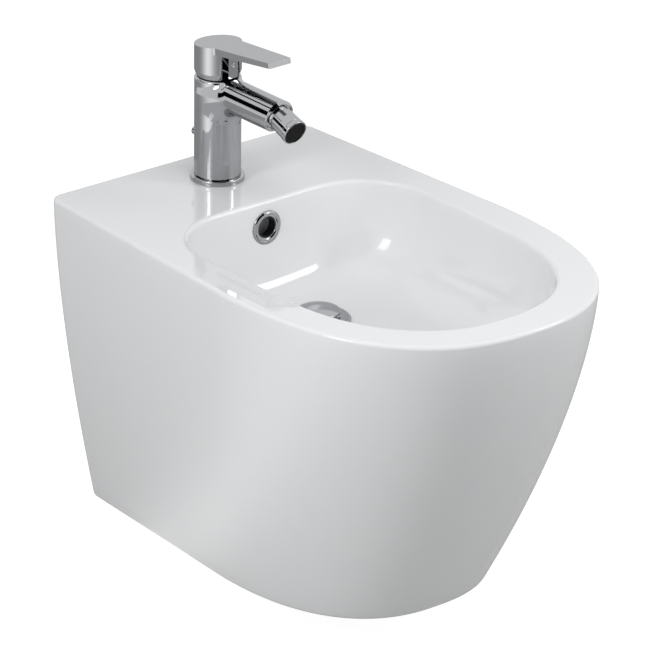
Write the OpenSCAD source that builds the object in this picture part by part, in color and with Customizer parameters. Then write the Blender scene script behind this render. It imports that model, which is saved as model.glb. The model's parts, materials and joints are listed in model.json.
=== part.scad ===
// Wall-hung bidet: a hollow ceramic bowl on two wall studs, with a single-lever mixer that has a
// swivelling nozzle, and a pop-up waste worked by a lift rod behind the mixer.
// Millimetres. The wall is the plane y = 0 and the bowl reaches towards -Y. Z = 0 is the stud line.

/* [Ceramic body] */
// Greatest width of the body, seen from above
body_w = 360; // [340:1:400]
// Width of the body at the wall
back_w = 330; // [300:1:336]
// Projection of the body from the wall
body_l = 547; // [520:1:600]
// Height of the body, underside to deck
body_h = 342; // [320:1:380]
// Distance from the wall to the widest place
shoulder_y = 299; // [260:1:320]
// Roundness of the front outline, 2 is an ellipse and more is squarer
front_round = 2.44; // [2:0.02:3]
// How far each side draws in at the underside, at the wall
base_in_back = 49; // [20:1:60]
// How far each side draws in at the underside, at the widest place
base_in_side = 50; // [20:1:60]
// How far the front draws in at the underside
base_in_front = 129; // [60:1:150]
// How much nearer to the wall the widest place lies at the underside
base_in_shoulder = 58; // [20:1:80]
// How late the sides draw in on the way down, 1 is a straight slope
side_draw = 1.54; // [1:0.02:2.5]
// How late the front draws in on the way down
front_draw = 1.51; // [1:0.02:2.5]
// Thickness of the outer ceramic wall
wall_t = 11; // [8:0.5:14]
// Thickness of the deck and rim
deck_t = 15; // [12:0.5:20]
// Radius of the two upright corners at the wall
back_corner_r = 14; // [12:1:30]
// Radius of the outer edge of the rim
rim_edge_r = 4; // [4:0.5:10]
// Radius of the edge round the underside
base_edge_r = 5; // [2:0.5:8]

/* [Bowl] */
// Depth of the deck between the wall and the bowl
deck_l = 138; // [128:1:145]
// Width of the rim at the sides
rim_side = 38; // [32:1:50]
// Width of the rim at the front
rim_front = 37; // [30:1:50]
// Distance from the wall to where the bowl's front curve starts
bowl_shoulder_y = 328; // [300:1:350]
// Roundness of the bowl's front outline
bowl_round = 2.36; // [2:0.02:3]
// Radius of the bowl's two back corners
bowl_corner_r = 78; // [60:1:90]
// Radius that rolls the deck over into the bowl
bowl_roll_r = 4; // [4:0.5:9]
// Depth of the bowl at the waste
bowl_depth = 100; // [90:1:120]
// Fullness of the bowl's walls, 2 is an ellipse and more is squarer
bowl_full = 2.8; // [2.2:0.1:3.2]
// Thickness of the ceramic under the bowl
bowl_t = 11; // [9:0.5:14]
// Distance from the bowl's back edge to the centre of the waste
waste_set = 88; // [84:1:110]
// Diameter of the hole for the waste
waste_hole_d = 46; // [45:0.5:48]
// Height of the ceramic collar round the waste hole
waste_collar_h = 42; // [38:1:48]
// Depth of the overflow's centre below the deck
overflow_drop = 28; // [26:1:32]
// Diameter of the overflow hole in the ceramic
overflow_hole_d = 26; // [22:0.5:28]

/* [Wall fixing] */
// Height of the two wall studs above the underside
stud_h = 267; // [250:1:280]
// Distance between the two wall studs
stud_gap = 180; // [160:1:230]
// Diameter of the wall studs
stud_d = 12; // [10:1:14]
// Length of each stud inside the body
stud_in = 44; // [36:1:60]
// Length of each stud behind the wall face
stud_out = 40; // [30:1:60]
// Diameter of the stud holes in the ceramic
stud_hole_d = 20; // [18:0.5:24]
// Width of the pipe opening in the back panel
pipe_gap_w = 150; // [120:1:155]
// Height of the pipe opening in the back panel
pipe_gap_h = 200; // [160:1:215]

/* [Mixer] */
// Distance from the wall to the mixer's axis
tap_y = 63; // [60:1:70]
// Diameter of the tap hole in the deck
tap_hole_d = 35; // [34:0.5:36]
// Diameter of the ring that the mixer stands on
ring_d = 55; // [52:0.5:60]
// Height of that ring
ring_h = 5; // [4:0.5:6]
// Diameter of the mixer's body
tap_d = 47.5; // [46:0.5:50]
// Height of the mixer's body above the deck
tap_h = 111; // [110:0.5:118]
// Diameter of the spout
spout_d = 34.5; // [33:0.5:36]
// Height of the spout's axis above the deck
spout_h = 95.5; // [95:0.5:97]
// Reach of the spout's end from the mixer's axis
spout_l = 98; // [90:1:120]
// How far the nozzle points down from the level
nozzle_dip = 20; // [10:1:24]
// Diameter of the cartridge
cartridge_d = 35; // [34:0.5:36]

/* [Lever] */
// Diameter of the lever's round head
head_d = 48; // [47:0.5:50]
// Height of the head's top above the deck, at the mixer's axis
head_top = 145.5; // [144:0.5:152]
// Gap between the body's top and the head at rest
head_gap = 1; // [0.8:0.1:1.4]
// Reach of the blade from the mixer's axis
blade_l = 99; // [80:1:130]
// Width of the blade where its sides would reach the mixer's axis
blade_root_w = 36.6; // [36:0.2:45]
// Width of the blade at its tip
blade_tip_w = 27.6; // [20:0.2:34]
// Thickness of the blade at its root
blade_t = 7; // [6:0.5:8]
// Thickness of the blade at its tip
blade_tip_t = 5.5; // [4.5:0.5:7]
// How far the blade rises towards its tip, in degrees
blade_rise = 5.4; // [2:0.2:8]
// Width of the window in the front of the head
window_w = 21; // [19:0.5:23]
// Width of the rib in that window
rib_w = 11.6; // [10:0.2:13]

/* [Nozzle] */
// Diameter of the nozzle's ball
ball_d = 26.4; // [26:0.2:26.6]
// Diameter of the nozzle's barrel at the spout
barrel_d = 25.4; // [24:0.2:25.4]
// Diameter of the aerator ring at the nozzle's end
aerator_d = 27.2; // [26:0.2:28]
// Length of the nozzle in front of the spout's end
nozzle_l = 27; // [24:0.5:32]
// Length of the aerator ring
aerator_l = 5.5; // [4.5:0.5:7]

/* [Waste] */
// Diameter of the waste's flange
flange_d = 65; // [62:0.5:68]
// Diameter of the waste's threaded tube
waste_d = 42; // [41:0.5:42]
// Bore of the waste's threaded tube
waste_bore_d = 36; // [34:0.5:37]
// Diameter of the plug
plug_d = 43; // [41:0.5:44]
// Outer diameter of the tail pipe
tail_d = 32; // [30:1:34]
// Wall of the tail pipe
tail_t = 1.5; // [1:0.1:2]
// Length of the tail pipe below the waste body
tail_l = 50; // [40:1:80]
// Travel of the lift knob
lift_travel = 24; // [16:1:26]
// Height of the lift knob above the deck
knob_h = 39.5; // [36:0.5:40]
// Diameter of the lift knob
knob_d = 9; // [8:0.5:10]
// Reach of the lift knob behind the mixer's axis
knob_l = 37.7; // [36:0.1:44]

/* [Hidden] */
$fn = 64;

// Clearances: a running fit turns or slides, a seat is still, a loose fit is passed through
run_gap = 0.05;
seat_gap = 0.1;
loose_gap = 0.3;
// Overrun of a cut past the face it opens
cut = 1;

// Levels of the body
base_z = -stud_h;
deck_z = body_h - stud_h;
floor_z = deck_z - bowl_depth;
waste_y = deck_l + waste_set;

// Points in each stretch of a half outline: back, corner, side and front
back_n = 3;
corner_n = 6;
side_n = 4;
front_n = 16;
// Rings up the outer skin, round each edge and down the bowl
skin_n = 8;
edge_n = 3;
bowl_n = 9;

// Half an outline from the middle of its back to its front, then mirrored into a ring.
// hb and hs are the half widths at the back and at the shoulder, y0, ys and yl the distances from
// the wall to the back, the shoulder and the front, n the roundness and rc the corner radius.
function half_outline(hb, hs, y0, ys, yl, n, rc) = concat(
    [for (i = [0:back_n - 1]) [(hb - rc) * i / back_n, -y0]],
    [for (i = [0:corner_n - 1]) let (a = 90 * i / corner_n) [hb - rc + rc * sin(a), -y0 - rc + rc * cos(a)]],
    [for (i = [0:side_n - 1]) let (u = i / side_n) [hb + (hs - hb) * u, -y0 - rc - (ys - y0 - rc) * u]],
    [for (i = [0:front_n]) let (a = 90 * i / front_n)
        [hs * pow(cos(a), 2 / n), -ys - (yl - ys) * pow(sin(a), 2 / n)]]);
function whole(half) = concat(half, [for (i = [len(half) - 2:-1:1]) [-half[i][0], half[i][1]]]);
function at_z(ring, z) = [for (p = ring) [p[0], p[1], z]];
function mix(a, b, k) = a + (b - a) * k;

// The outer skin at height z above the underside, drawn in by inset
function skin(z, inset) = let (
        t = 1 - z / body_h,
        kx = pow(t, side_draw),
        ky = pow(t, front_draw))
    at_z(whole(half_outline(
        back_w / 2 - base_in_back * kx - inset,
        body_w / 2 - base_in_side * kx - inset,
        inset,
        shoulder_y - base_in_shoulder * ky,
        body_l - base_in_front * ky - inset,
        front_round,
        max(back_corner_r - inset, 3))), z + base_z);

// The bowl's outline, drawn in by inset, and the circle round the waste that it narrows to
function bowl_outline(inset) = whole(half_outline(
    body_w / 2 - rim_side - inset, body_w / 2 - rim_side - inset, deck_l + inset,
    bowl_shoulder_y, body_l - rim_front - inset, bowl_round, bowl_corner_r - inset));
function waste_circle(r) = [for (p = bowl_outline(0)) let (
        v = p + [0, waste_y],
        d = norm(v))
    [v[0] / d * r, v[1] / d * r - waste_y]];
// One ring of the bowl, a quarter of the way round from wall to floor at each 90 degrees of a.
// out moves the ring outwards by the thickness of the ceramic.
function bowl_ring(a, out) = let (
        k = 1 - pow(cos(a), 2 / bowl_full),
        d = pow(sin(a), 2 / bowl_full),
        edge = bowl_outline(bowl_roll_r - out),
        land = waste_circle(land_r + out),
        drop = bowl_roll_r + (bowl_depth - bowl_roll_r) * d + out * d)
    [for (i = [0:len(edge) - 1])
        [mix(edge[i][0], land[i][0], k), mix(edge[i][1], land[i][1], k), deck_z - drop]];
land_r = flange_d / 2 + 2;
waste_hole_r = waste_hole_d / 2;
// The inner ring of the loft, inside the bore that is cut later
core_r = waste_hole_r - 6;

// The rings of the whole ceramic shell, in a closed chain from the underside, up the skin, over the
// rim, down the bowl, back up its underside and down the inside of the skin
skin_rings = concat(
    [for (i = [0:edge_n]) let (a = 90 * i / edge_n)
        skin(base_edge_r * (1 - cos(a)), base_edge_r * (1 - sin(a)))],
    [for (i = [1:skin_n - 1]) skin(mix(base_edge_r, body_h - rim_edge_r, i / skin_n), 0)],
    [for (i = [0:edge_n]) let (a = 90 * i / edge_n)
        skin(body_h - rim_edge_r * (1 - sin(a)), rim_edge_r * (1 - cos(a)))]);
roll_rings = [for (i = [0:edge_n]) let (a = 90 * i / edge_n)
    at_z(bowl_outline(bowl_roll_r * sin(a)), deck_z - bowl_roll_r * (1 - cos(a)))];
bowl_rings = [for (i = [1:bowl_n]) bowl_ring(90 * i / bowl_n, 0)];
core_rings = [at_z(waste_circle(core_r), floor_z), at_z(waste_circle(core_r), floor_z - bowl_t)];
under_rings = [for (i = [bowl_n:-1:2]) bowl_ring(90 * i / bowl_n, bowl_t)];
hollow_rings = concat(
    [at_z(bowl_outline(bowl_roll_r - bowl_t), deck_z - deck_t)],
    [for (i = [skin_n:-1:0]) skin(mix(0, body_h - deck_t, i / skin_n), wall_t)]);
shell_rings = concat(skin_rings, roll_rings, bowl_rings, core_rings, under_rings, hollow_rings);
ring_len = len(shell_rings[0]);
ring_count = len(shell_rings);

module ceramic_shell() {
    polyhedron(
        points = [for (r = shell_rings) for (p = r) p],
        faces = [for (j = [0:ring_count - 1]) for (i = [0:ring_len - 1]) let (
                k = (i + 1) % ring_len,
                n = (j + 1) % ring_count)
            [j * ring_len + i, j * ring_len + k, n * ring_len + k, n * ring_len + i]]);
}

// A plain ring, from z up by h
module ring(r_out, r_in, z, h) {
    translate([0, 0, z]) difference() {
        cylinder(r = r_out, h = h);
        translate([0, 0, -cut]) cylinder(r = r_in, h = h + 2 * cut);
    }
}

// A hexagon nut across flats af, with its bore r_in
module hex_nut(af, r_in, z, h) {
    translate([0, 0, z]) difference() {
        cylinder(d = af / cos(30), h = h, $fn = 6);
        translate([0, 0, -cut]) cylinder(r = r_in, h = h + 2 * cut);
    }
}

// A cylinder that runs from y0 to y1 along Y
module rod_y(r, y0, y1) {
    translate([0, y0, 0]) rotate([-90, 0, 0]) cylinder(r = r, h = y1 - y0);
}

module at_tap() {
    translate([0, -tap_y, deck_z]) children();
}

module at_waste() {
    translate([0, -waste_y, floor_z]) children();
}

module at_studs() {
    for (side = [-1, 1]) translate([side * stud_gap / 2, 0, 0]) children();
}

// The overflow duct: its passage drops behind the bowl and runs forward to the waste collar
duct_w = 34;
duct_deep = 16;
duct_t = 6;
duct_back = deck_l + bowl_roll_r - bowl_t - duct_deep + 4;
duct_run_z = -bowl_t - 3;
overflow_z = deck_z - overflow_drop;
overflow_y = deck_l + bowl_roll_r;
// Length of the overflow's cuts in front of the bowl's back wall
drill_run = 12;
collar_r = waste_hole_r + 11;

module duct_solid() {
    duct_low = floor_z + duct_run_z - duct_deep - duct_t;
    translate([-duct_w / 2 - duct_t, -duct_back - duct_deep - 2, duct_low])
        cube([duct_w + 2 * duct_t, duct_deep + duct_t + 2, deck_z - deck_t + 1 - duct_low]);
    translate([-duct_w / 2 - duct_t, -waste_y, duct_low])
        cube([duct_w + 2 * duct_t, waste_y - duct_back + duct_t, duct_deep + 2 * duct_t]);
}

module duct_passage() {
    duct_low = floor_z + duct_run_z - duct_deep;
    translate([-duct_w / 2, -duct_back - duct_deep, duct_low])
        cube([duct_w, duct_deep, overflow_z + overflow_hole_d / 2 + 2 - duct_low]);
    translate([-duct_w / 2, -waste_y, duct_low]) cube([duct_w, waste_y - duct_back, duct_deep]);
}

module ceramic_body() {
    color("whitesmoke") difference() {
        union() {
            ceramic_shell();
            at_waste() translate([0, 0, -waste_collar_h])
                cylinder(r = collar_r, h = waste_collar_h - bowl_t / 2);
            duct_solid();
        }
        duct_passage();
        at_waste() translate([0, 0, -waste_collar_h - cut])
            cylinder(r = waste_hole_r, h = waste_collar_h + 2 * cut);
        at_tap() translate([0, 0, -deck_t - cut]) cylinder(d = tap_hole_d, h = deck_t + 2 * cut);
        translate([0, 0, overflow_z]) {
            rod_y(overflow_hole_d / 2, -overflow_y - drill_run, -duct_back - duct_deep / 2);
            rod_y(overflow_seat_r, -overflow_y - drill_run, -overflow_y);
        }
        at_studs() rod_y(stud_hole_d / 2, -wall_t - cut, cut);
        translate([-pipe_gap_w / 2, -wall_t - cut, base_z - cut])
            cube([pipe_gap_w, wall_t + 2 * cut, pipe_gap_h + cut]);
    }
}

// Wall fixing: each stud passes a sleeve in the ceramic and takes a washer and a nut inside
sleeve_lip_t = 2;
washer_t = 2.5;
nut_t = 10;
nut_af = 1.55 * stud_d;
washer_r = stud_hole_d / 2 + 4;

// The stud's end inside the body is thinner than its end in the wall
stud_step = 0.2;
stud_inner_r = stud_d / 2 - stud_step;

module wall_studs() {
    color("silver") at_studs() union() {
        rod_y(stud_inner_r, -stud_in, 0);
        rod_y(stud_d / 2, 0, stud_out);
    }
}

module stud_sleeves() {
    color("white") at_studs() difference() {
        union() {
            rod_y(stud_hole_d / 2 - seat_gap, -wall_t, 0);
            rod_y(washer_r, -wall_t - sleeve_lip_t, -wall_t);
        }
        rod_y(stud_inner_r + seat_gap, -wall_t - sleeve_lip_t - cut, cut);
    }
}

module stud_washers() {
    color("silver") at_studs() difference() {
        rod_y(washer_r, -wall_t - sleeve_lip_t - washer_t, -wall_t - sleeve_lip_t);
        rod_y(stud_inner_r + seat_gap, -wall_t - sleeve_lip_t - washer_t - cut, cut);
    }
}

module stud_nuts() {
    color("silver") at_studs() translate([0, -wall_t - sleeve_lip_t - washer_t, 0])
        rotate([90, 0, 0]) hex_nut(nut_af, stud_inner_r + seat_gap, 0, nut_t);
}

// Overflow ring: a flange against the bowl's back wall and a sleeve in the hole
overflow_flange_r = 17.5;
overflow_seat_r = overflow_flange_r + 0.5;
overflow_flange_t = 3;
overflow_bore_r = 10.8;

module overflow_ring() {
    sleeve_r = overflow_hole_d / 2 - seat_gap;
    color("silver") translate([0, -overflow_y, overflow_z]) rotate([90, 0, 0]) rotate_extrude() polygon([
        [overflow_bore_r, -8], [sleeve_r, -8], [sleeve_r, 0], [overflow_flange_r, 0],
        [overflow_flange_r, 1.2], [overflow_flange_r - 1.8, overflow_flange_t],
        [overflow_bore_r + 2, overflow_flange_t], [overflow_bore_r, overflow_flange_t - 1.5]]);
}

// Waste, from the bowl's floor at height 0 downwards
flange_t = 3;
gasket_t = 1;
tube_r = waste_d / 2;
tube_bore_r = waste_bore_d / 2;
tube_low = -waste_collar_h - 24;
seal_t = 6;
lock_t = 8;
tee_r = tube_r + 4;
tee_top = tube_low + 8;
tee_low = tube_low - 32;
pivot_z = tube_low - 11;
// Distance from the waste's axis to the centre of the pivot ball behind it
pivot_y = tee_r + 7;
pivot_ball_r = 7;
port_r = 11;
port_bore_r = pivot_ball_r + 0.6;
port_end = pivot_y + 1;
pivot_rod_r = 2;
// The way that the tipping rod needs through the tee, the seals and the nut
rod_way_r = pivot_rod_r + 2.3;
// Each seal starts this far from the ball's middle, and the outer one ends this far past the ball
seal_split = 3;
seal_over = 1.5;
tail_in = 8;
// The pipe's end in the tee is turned down by a step that starts a neck's length below the tee
tail_step = 0.4;
tail_neck = 2;
seat_top_r = plug_d / 2 + 1;

module waste_flange() {
    slot_z = duct_run_z - duct_deep + 2;
    color("silver") at_waste() difference() {
        rotate_extrude() polygon([
            [tube_bore_r, tube_low], [tube_r, tube_low], [tube_r, gasket_t],
            [flange_d / 2, gasket_t], [flange_d / 2, gasket_t + flange_t - 2],
            [flange_d / 2 - 2, gasket_t + flange_t], [seat_top_r, gasket_t + flange_t],
            [tube_bore_r, gasket_t - 2]]);
        for (turn = [0, 90])
            rotate([0, 0, turn]) translate([-7, -tube_r - cut, slot_z])
                cube([14, waste_d + 2 * cut, duct_deep - 4]);
    }
}

module flange_gasket() {
    color("dimgray") at_waste() ring(flange_d / 2 - 1, waste_hole_r + 0.5, 0, gasket_t);
}

module lower_waste_seal() {
    color("dimgray") at_waste() ring(collar_r - 2, tube_r + seat_gap, -waste_collar_h - seal_t, seal_t);
}

module waste_lock_nut() {
    color("goldenrod") at_waste()
        hex_nut(waste_d + 13, tube_r + seat_gap, -waste_collar_h - seal_t - lock_t, lock_t);
}

module waste_tee() {
    color("silver") at_waste() difference() {
        union() {
            translate([0, 0, tee_low]) cylinder(r = tee_r, h = tee_top - tee_low);
            translate([0, 0, pivot_z]) rod_y(port_r, 0, port_end);
        }
        translate([0, 0, tube_low]) cylinder(r = tube_r + seat_gap, h = tee_top - tube_low + cut);
        translate([0, 0, tee_low + tail_in])
            cylinder(r = tube_bore_r, h = tube_low - tee_low - tail_in + cut);
        translate([0, 0, tee_low - cut]) cylinder(r = tail_d / 2 - tail_step + seat_gap, h = tail_in + cut);
        translate([0, 0, tee_low]) cylinder(r = tail_d / 2 - tail_t, h = tail_in + 2 * cut);
        translate([0, 0, pivot_z]) rod_y(rod_way_r, 0, pivot_y);
        translate([0, 0, pivot_z]) rod_y(port_bore_r, pivot_y - pivot_ball_r - 2, port_end + cut);
    }
}

module tail_pipe() {
    bore_r = tail_d / 2 - tail_t;
    color("silver") at_waste() union() {
        ring(tail_d / 2, bore_r, tee_low - tail_l, tail_l - tail_neck);
        ring(tail_d / 2 - tail_step, bore_r, tee_low - tail_neck, tail_in + tail_neck);
    }
}

// Ball pivot at the back of the waste
module at_pivot() {
    at_waste() translate([0, pivot_y, pivot_z]) children();
}

module ball_seals() {
    color("dimgray") at_pivot() difference() {
        union() {
            rod_y(port_bore_r - seat_gap, -pivot_ball_r - 2, -seal_split);
            rod_y(port_bore_r - seat_gap, seal_split, pivot_ball_r + seal_over);
        }
        sphere(r = pivot_ball_r + run_gap);
        rod_y(rod_way_r, -pivot_ball_r - 3, pivot_ball_r + 3);
    }
}

module ball_nut() {
    nut_start = tee_r - pivot_y + loose_gap;
    nut_end = pivot_ball_r + 4;
    color("silver") at_pivot() difference() {
        rod_y(port_r + 3, nut_start, nut_end);
        rod_y(port_r + seat_gap, nut_start - cut, port_end - pivot_y);
        rod_y(port_bore_r + seat_gap, 0, pivot_ball_r + seal_over);
        rod_y(rod_way_r, 0, nut_end + cut);
    }
}

// The pivot rod tips about the ball: its back end hangs low while the plug stands open
rod_set = 12;
lift_rod_r = 2.5;
strap_set = rod_set + lift_rod_r + 3.2;
strap_t = 1.5;
strap_y = tap_y - strap_set;
arm_back = waste_y - pivot_y - strap_y;
arm_front = pivot_y;
rod_tip = asin(lift_travel / 2 / arm_back);
plug_travel = lift_travel * arm_front / arm_back;

module at_rod() {
    at_pivot() rotate([-rod_tip, 0, 0]) children();
}

module pivot_ball() {
    color("ivory") at_rod() difference() {
        sphere(r = pivot_ball_r);
        rod_y(pivot_rod_r + run_gap, -pivot_ball_r - cut, pivot_ball_r + cut);
    }
}

module pivot_rod() {
    color("silver") at_rod() rod_y(pivot_rod_r, -arm_front - 4, arm_back + 12);
}

// Plug: raised by plug_travel at rest, down on its seat when the knob is pulled up
plug_seal_t = 1.6;
plug_low = gasket_t + 0.6 + plug_travel;
plug_dome_h = 3;
plug_rim_h = 3;
fin_t = 2.4;

module plug_cap() {
    dome_r = (pow(plug_d / 2 - 1, 2) + pow(plug_dome_h, 2)) / (2 * plug_dome_h);
    color("silver") at_waste() translate([0, 0, plug_low + plug_seal_t]) union() {
        cylinder(d = plug_d, h = plug_rim_h - 1);
        translate([0, 0, plug_rim_h - 1]) cylinder(d1 = plug_d, d2 = plug_d - 2, h = 1);
        translate([0, 0, plug_rim_h]) intersection() {
            cylinder(d = plug_d - 2, h = plug_dome_h + 1);
            translate([0, 0, plug_dome_h - dome_r]) sphere(r = dome_r, $fn = 96);
        }
    }
}

module plug_seal() {
    color("dimgray") at_waste() ring(tube_bore_r + 1.6, 6, plug_low, plug_seal_t);
}

module plug_stem() {
    stem_low = pivot_z - 7;
    fin_r = tube_bore_r - 0.8;
    color("silver") at_waste() difference() {
        union() {
            translate([0, 0, stem_low]) cylinder(r = 5.5, h = plug_low + plug_seal_t - stem_low);
            for (turn = [45, 135])
                rotate([0, 0, turn]) translate([-fin_r, -fin_t / 2, pivot_z + 16])
                    cube([2 * fin_r, fin_t, plug_low - pivot_z - 16]);
        }
        translate([0, 0, pivot_z + arm_front * sin(rod_tip)]) rod_y(pivot_rod_r + 0.8, -8, 8);
    }
}

// Lift rod: bent over into the knob's arm at the top, with the strap clipped on below
rod_low = pivot_z + floor_z - deck_z + 36;
clip_h = 14;

module lift_rod() {
    color("silver") at_tap() union() {
        translate([0, rod_set, rod_low]) cylinder(r = lift_rod_r, h = knob_h - rod_low);
        translate([0, rod_set, knob_h]) sphere(r = lift_rod_r);
        translate([0, 0, knob_h]) rod_y(lift_rod_r, rod_set, knob_l - 4);
    }
}

module lift_knob() {
    color("silver") at_tap() translate([0, 0, knob_h]) difference() {
        union() {
            rod_y(knob_d / 2, knob_l - 11, knob_l - 1);
            translate([0, knob_l - 1, 0]) rotate([-90, 0, 0]) cylinder(d1 = knob_d, d2 = knob_d - 2, h = 1);
        }
        rod_y(lift_rod_r + run_gap, knob_l - 11 - cut, knob_l - 4);
    }
}

module rod_clip() {
    color("silver") at_tap() difference() {
        translate([-6, rod_set - 5, rod_low + 4]) cube([12, strap_set - rod_set + 5, clip_h]);
        translate([0, rod_set, rod_low]) cylinder(r = lift_rod_r + run_gap, h = clip_h + 8);
        translate([-8, rod_set, rod_low + 4 + clip_h / 2]) rotate([0, 90, 0]) cylinder(r = 2, h = 7);
    }
}

module clip_screw() {
    color("silver") at_tap() translate([0, rod_set, rod_low + 4 + clip_h / 2]) rotate([0, -90, 0]) union() {
        translate([0, 0, lift_rod_r + seat_gap]) cylinder(r = 2 - run_gap, h = 6 - lift_rod_r);
        translate([0, 0, 6 + seat_gap]) cylinder(r = 4.5, h = 6);
    }
}

module link_strap() {
    hole_z = pivot_z + floor_z - deck_z - arm_back * sin(rod_tip);
    strap_low = hole_z - 8;
    strap_high = rod_low + 4 + clip_h;
    color("silver") at_tap() difference() {
        translate([-5, strap_set, strap_low]) cube([10, strap_t, strap_high - strap_low]);
        for (i = [0:3]) translate([0, 0, hole_z + 8 * i])
            rod_y(pivot_rod_r + 0.6, strap_set - cut, strap_set + strap_t + cut);
    }
}

// Mixer, above the deck at height 0
tap_r = tap_d / 2;
spigot_r = tap_hole_d / 2 - 0.5;
chamber_r = cartridge_d / 2 + seat_gap;
chamber_z = tap_h - 37;
thread_r = chamber_r + 1.4;
thread_z = chamber_z + 22;
top_bevel = 2;
// The spout's root is level with the body's top as far out as this past the lever's head
root_reach = 2;
inlet_x = 8;
inlet_r = 5;
inlet_l = 12;
feed_r = 4;
outlet_y = 9;
stud_y = 10.5;
screw_r = 4;
// Length of the fixing stud below the deck and in the mixer
stud_below = 62;
stud_above = 14;

// The nozzle's frame: the spout's end face is its plane z = 0 and it points along +z
module at_nozzle() {
    at_tap() translate([0, -spout_l, spout_h]) rotate([90 + nozzle_dip, 0, 0]) children();
}
ball_r = ball_d / 2;
ball_set = 7;
liner_t = 0.9;
// The liner is a band of this width, set this far behind the ball's middle
liner_w = 6;
liner_set = 2.9;
liner_r = ball_r + run_gap + liner_t;
socket_r = liner_r + run_gap + seat_gap;
// The spout's mouth in front of the ball, and its bevel
mouth_r = socket_r + 0.4;
mouth_bevel = 0.7;

module base_ring() {
    groove_r = ring_d / 2 - 3;
    color("silver") at_tap() difference() {
        union() {
            cylinder(d = ring_d, h = ring_h - 1);
            translate([0, 0, ring_h - 1]) cylinder(d1 = ring_d, d2 = ring_d - 2, h = 1);
        }
        translate([0, 0, -cut]) cylinder(r = spigot_r + seat_gap, h = ring_h + 2 * cut);
        ring(groove_r, groove_r - 4, -cut, 2 + cut);
    }
}

module base_gasket() {
    groove_r = ring_d / 2 - 3;
    color("dimgray") at_tap() ring(groove_r - seat_gap, groove_r - 4 + seat_gap, 0, 2);
}

module spout_solid() {
    difference() {
        translate([0, 0, spout_h]) rod_y(spout_d / 2, -spout_l - spout_d / 2, 0);
        translate([0, -spout_l, spout_h]) rotate([90 + nozzle_dip, 0, 0])
            cylinder(d = 3 * spout_d, h = 2 * spout_d);
    }
}

// Waterway from the chamber's floor down, then up into the spout
module waterway() {
    rise = atan2(spout_h - 6 - (chamber_z - 16), 40);
    translate([0, -outlet_y, chamber_z - 16]) cylinder(r = feed_r, h = 16 + cut);
    translate([0, -outlet_y, chamber_z - 16]) sphere(r = feed_r);
    translate([0, -outlet_y, chamber_z - 16]) rotate([90 - rise, 0, 0])
        cylinder(r = feed_r, h = 40 / cos(rise));
    translate([0, 0, spout_h]) rod_y(feed_r + 2, -spout_l + ball_set, -outlet_y - 34);
}

module mixer_body() {
    color("silver") difference() {
        at_tap() {
            cylinder(r = spigot_r, h = ring_h + cut);
            translate([0, 0, ring_h]) cylinder(r = tap_r, h = tap_h - top_bevel - ring_h);
            translate([0, 0, tap_h - top_bevel])
                cylinder(r1 = tap_r, r2 = tap_r - top_bevel, h = top_bevel);
            difference() {
                spout_solid();
                translate([0, 0, tap_h]) cylinder(r = head_r + root_reach, h = tap_r);
            }
        }
        at_tap() {
            translate([0, 0, chamber_z]) cylinder(r = chamber_r, h = tap_h);
            translate([0, 0, thread_z]) cylinder(r = thread_r, h = tap_h);
            for (side = [-1, 1]) translate([side * inlet_x, 0, 0]) {
                translate([0, 0, -cut]) cylinder(r = inlet_r, h = inlet_l + cut);
                cylinder(r = feed_r, h = chamber_z + cut);
            }
            waterway();
            translate([0, -stud_y, -cut]) cylinder(r = screw_r, h = stud_above + 2 + cut);
            translate([0, rod_set, -cut])
                cylinder(r = lift_rod_r + loose_gap, h = knob_h + lift_travel + 4 + cut);
            translate([-lift_rod_r - loose_gap, rod_set, knob_h - 4])
                cube([2 * (lift_rod_r + loose_gap), tap_r, lift_travel + 8]);
        }
        at_nozzle() {
            translate([0, 0, -ball_set]) cylinder(r = mouth_r, h = ball_set + cut);
            translate([0, 0, -mouth_bevel])
                cylinder(r1 = mouth_r, r2 = mouth_r + 2 * mouth_bevel, h = 2 * mouth_bevel);
            translate([0, 0, -ball_set]) sphere(r = socket_r);
        }
    }
}

module fixing_stud() {
    color("silver") at_tap() translate([0, -stud_y, -stud_below])
        cylinder(r = screw_r - run_gap, h = stud_below + stud_above);
}

// The clamp under the deck is a horseshoe, so that hoses and the lift rod pass
module horseshoe(r_out, z, h) {
    difference() {
        translate([0, 0, z]) cylinder(r = r_out, h = h);
        translate([0, -stud_y, z - cut]) cylinder(r = screw_r + seat_gap, h = h + 2 * cut);
        intersection() {
            translate([0, 0, z - cut]) cylinder(r = spigot_r, h = h + 2 * cut);
            translate([-spigot_r, -stud_y + screw_r + 1.2, z - cut])
                cube([2 * spigot_r, 3 * spigot_r, h + 2 * cut]);
        }
        translate([-spigot_r + 2, 0, z - cut]) cube([2 * spigot_r - 4, 2 * r_out, h + 2 * cut]);
    }
}
clamp_r = tap_hole_d / 2 + 9.5;
pad_t = 3;
plate_t = 2.5;
nut_l = 16;

module clamp_pad() {
    color("dimgray") at_tap() horseshoe(clamp_r, -deck_t - pad_t, pad_t);
}

module clamp_plate() {
    color("silver") at_tap() horseshoe(clamp_r, -deck_t - pad_t - plate_t, plate_t);
}

module fixing_nut() {
    color("goldenrod") at_tap() translate([0, -stud_y, 0])
        hex_nut(2 * screw_r + 3.5, screw_r + seat_gap, -deck_t - pad_t - plate_t - nut_l, nut_l);
}

// Cartridge, built up from the chamber's floor
base_t = 3.2;
fixed_t = 2.5;
moving_t = 5.5;
socket_z = 1.9;
base_low = chamber_z + 0.3;
fixed_low = base_low + base_t;
moving_low = fixed_low + fixed_t + run_gap;
// Height of the pin that the stem rocks on, above the deck
rock_z = chamber_z + 16;
carrier_low = moving_low + moving_t + 0.7;
carrier_top = rock_z + 7;
carrier_r = 10.9;
cage_r = cartridge_d / 2;
port_seal_r = 5.7;

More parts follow.
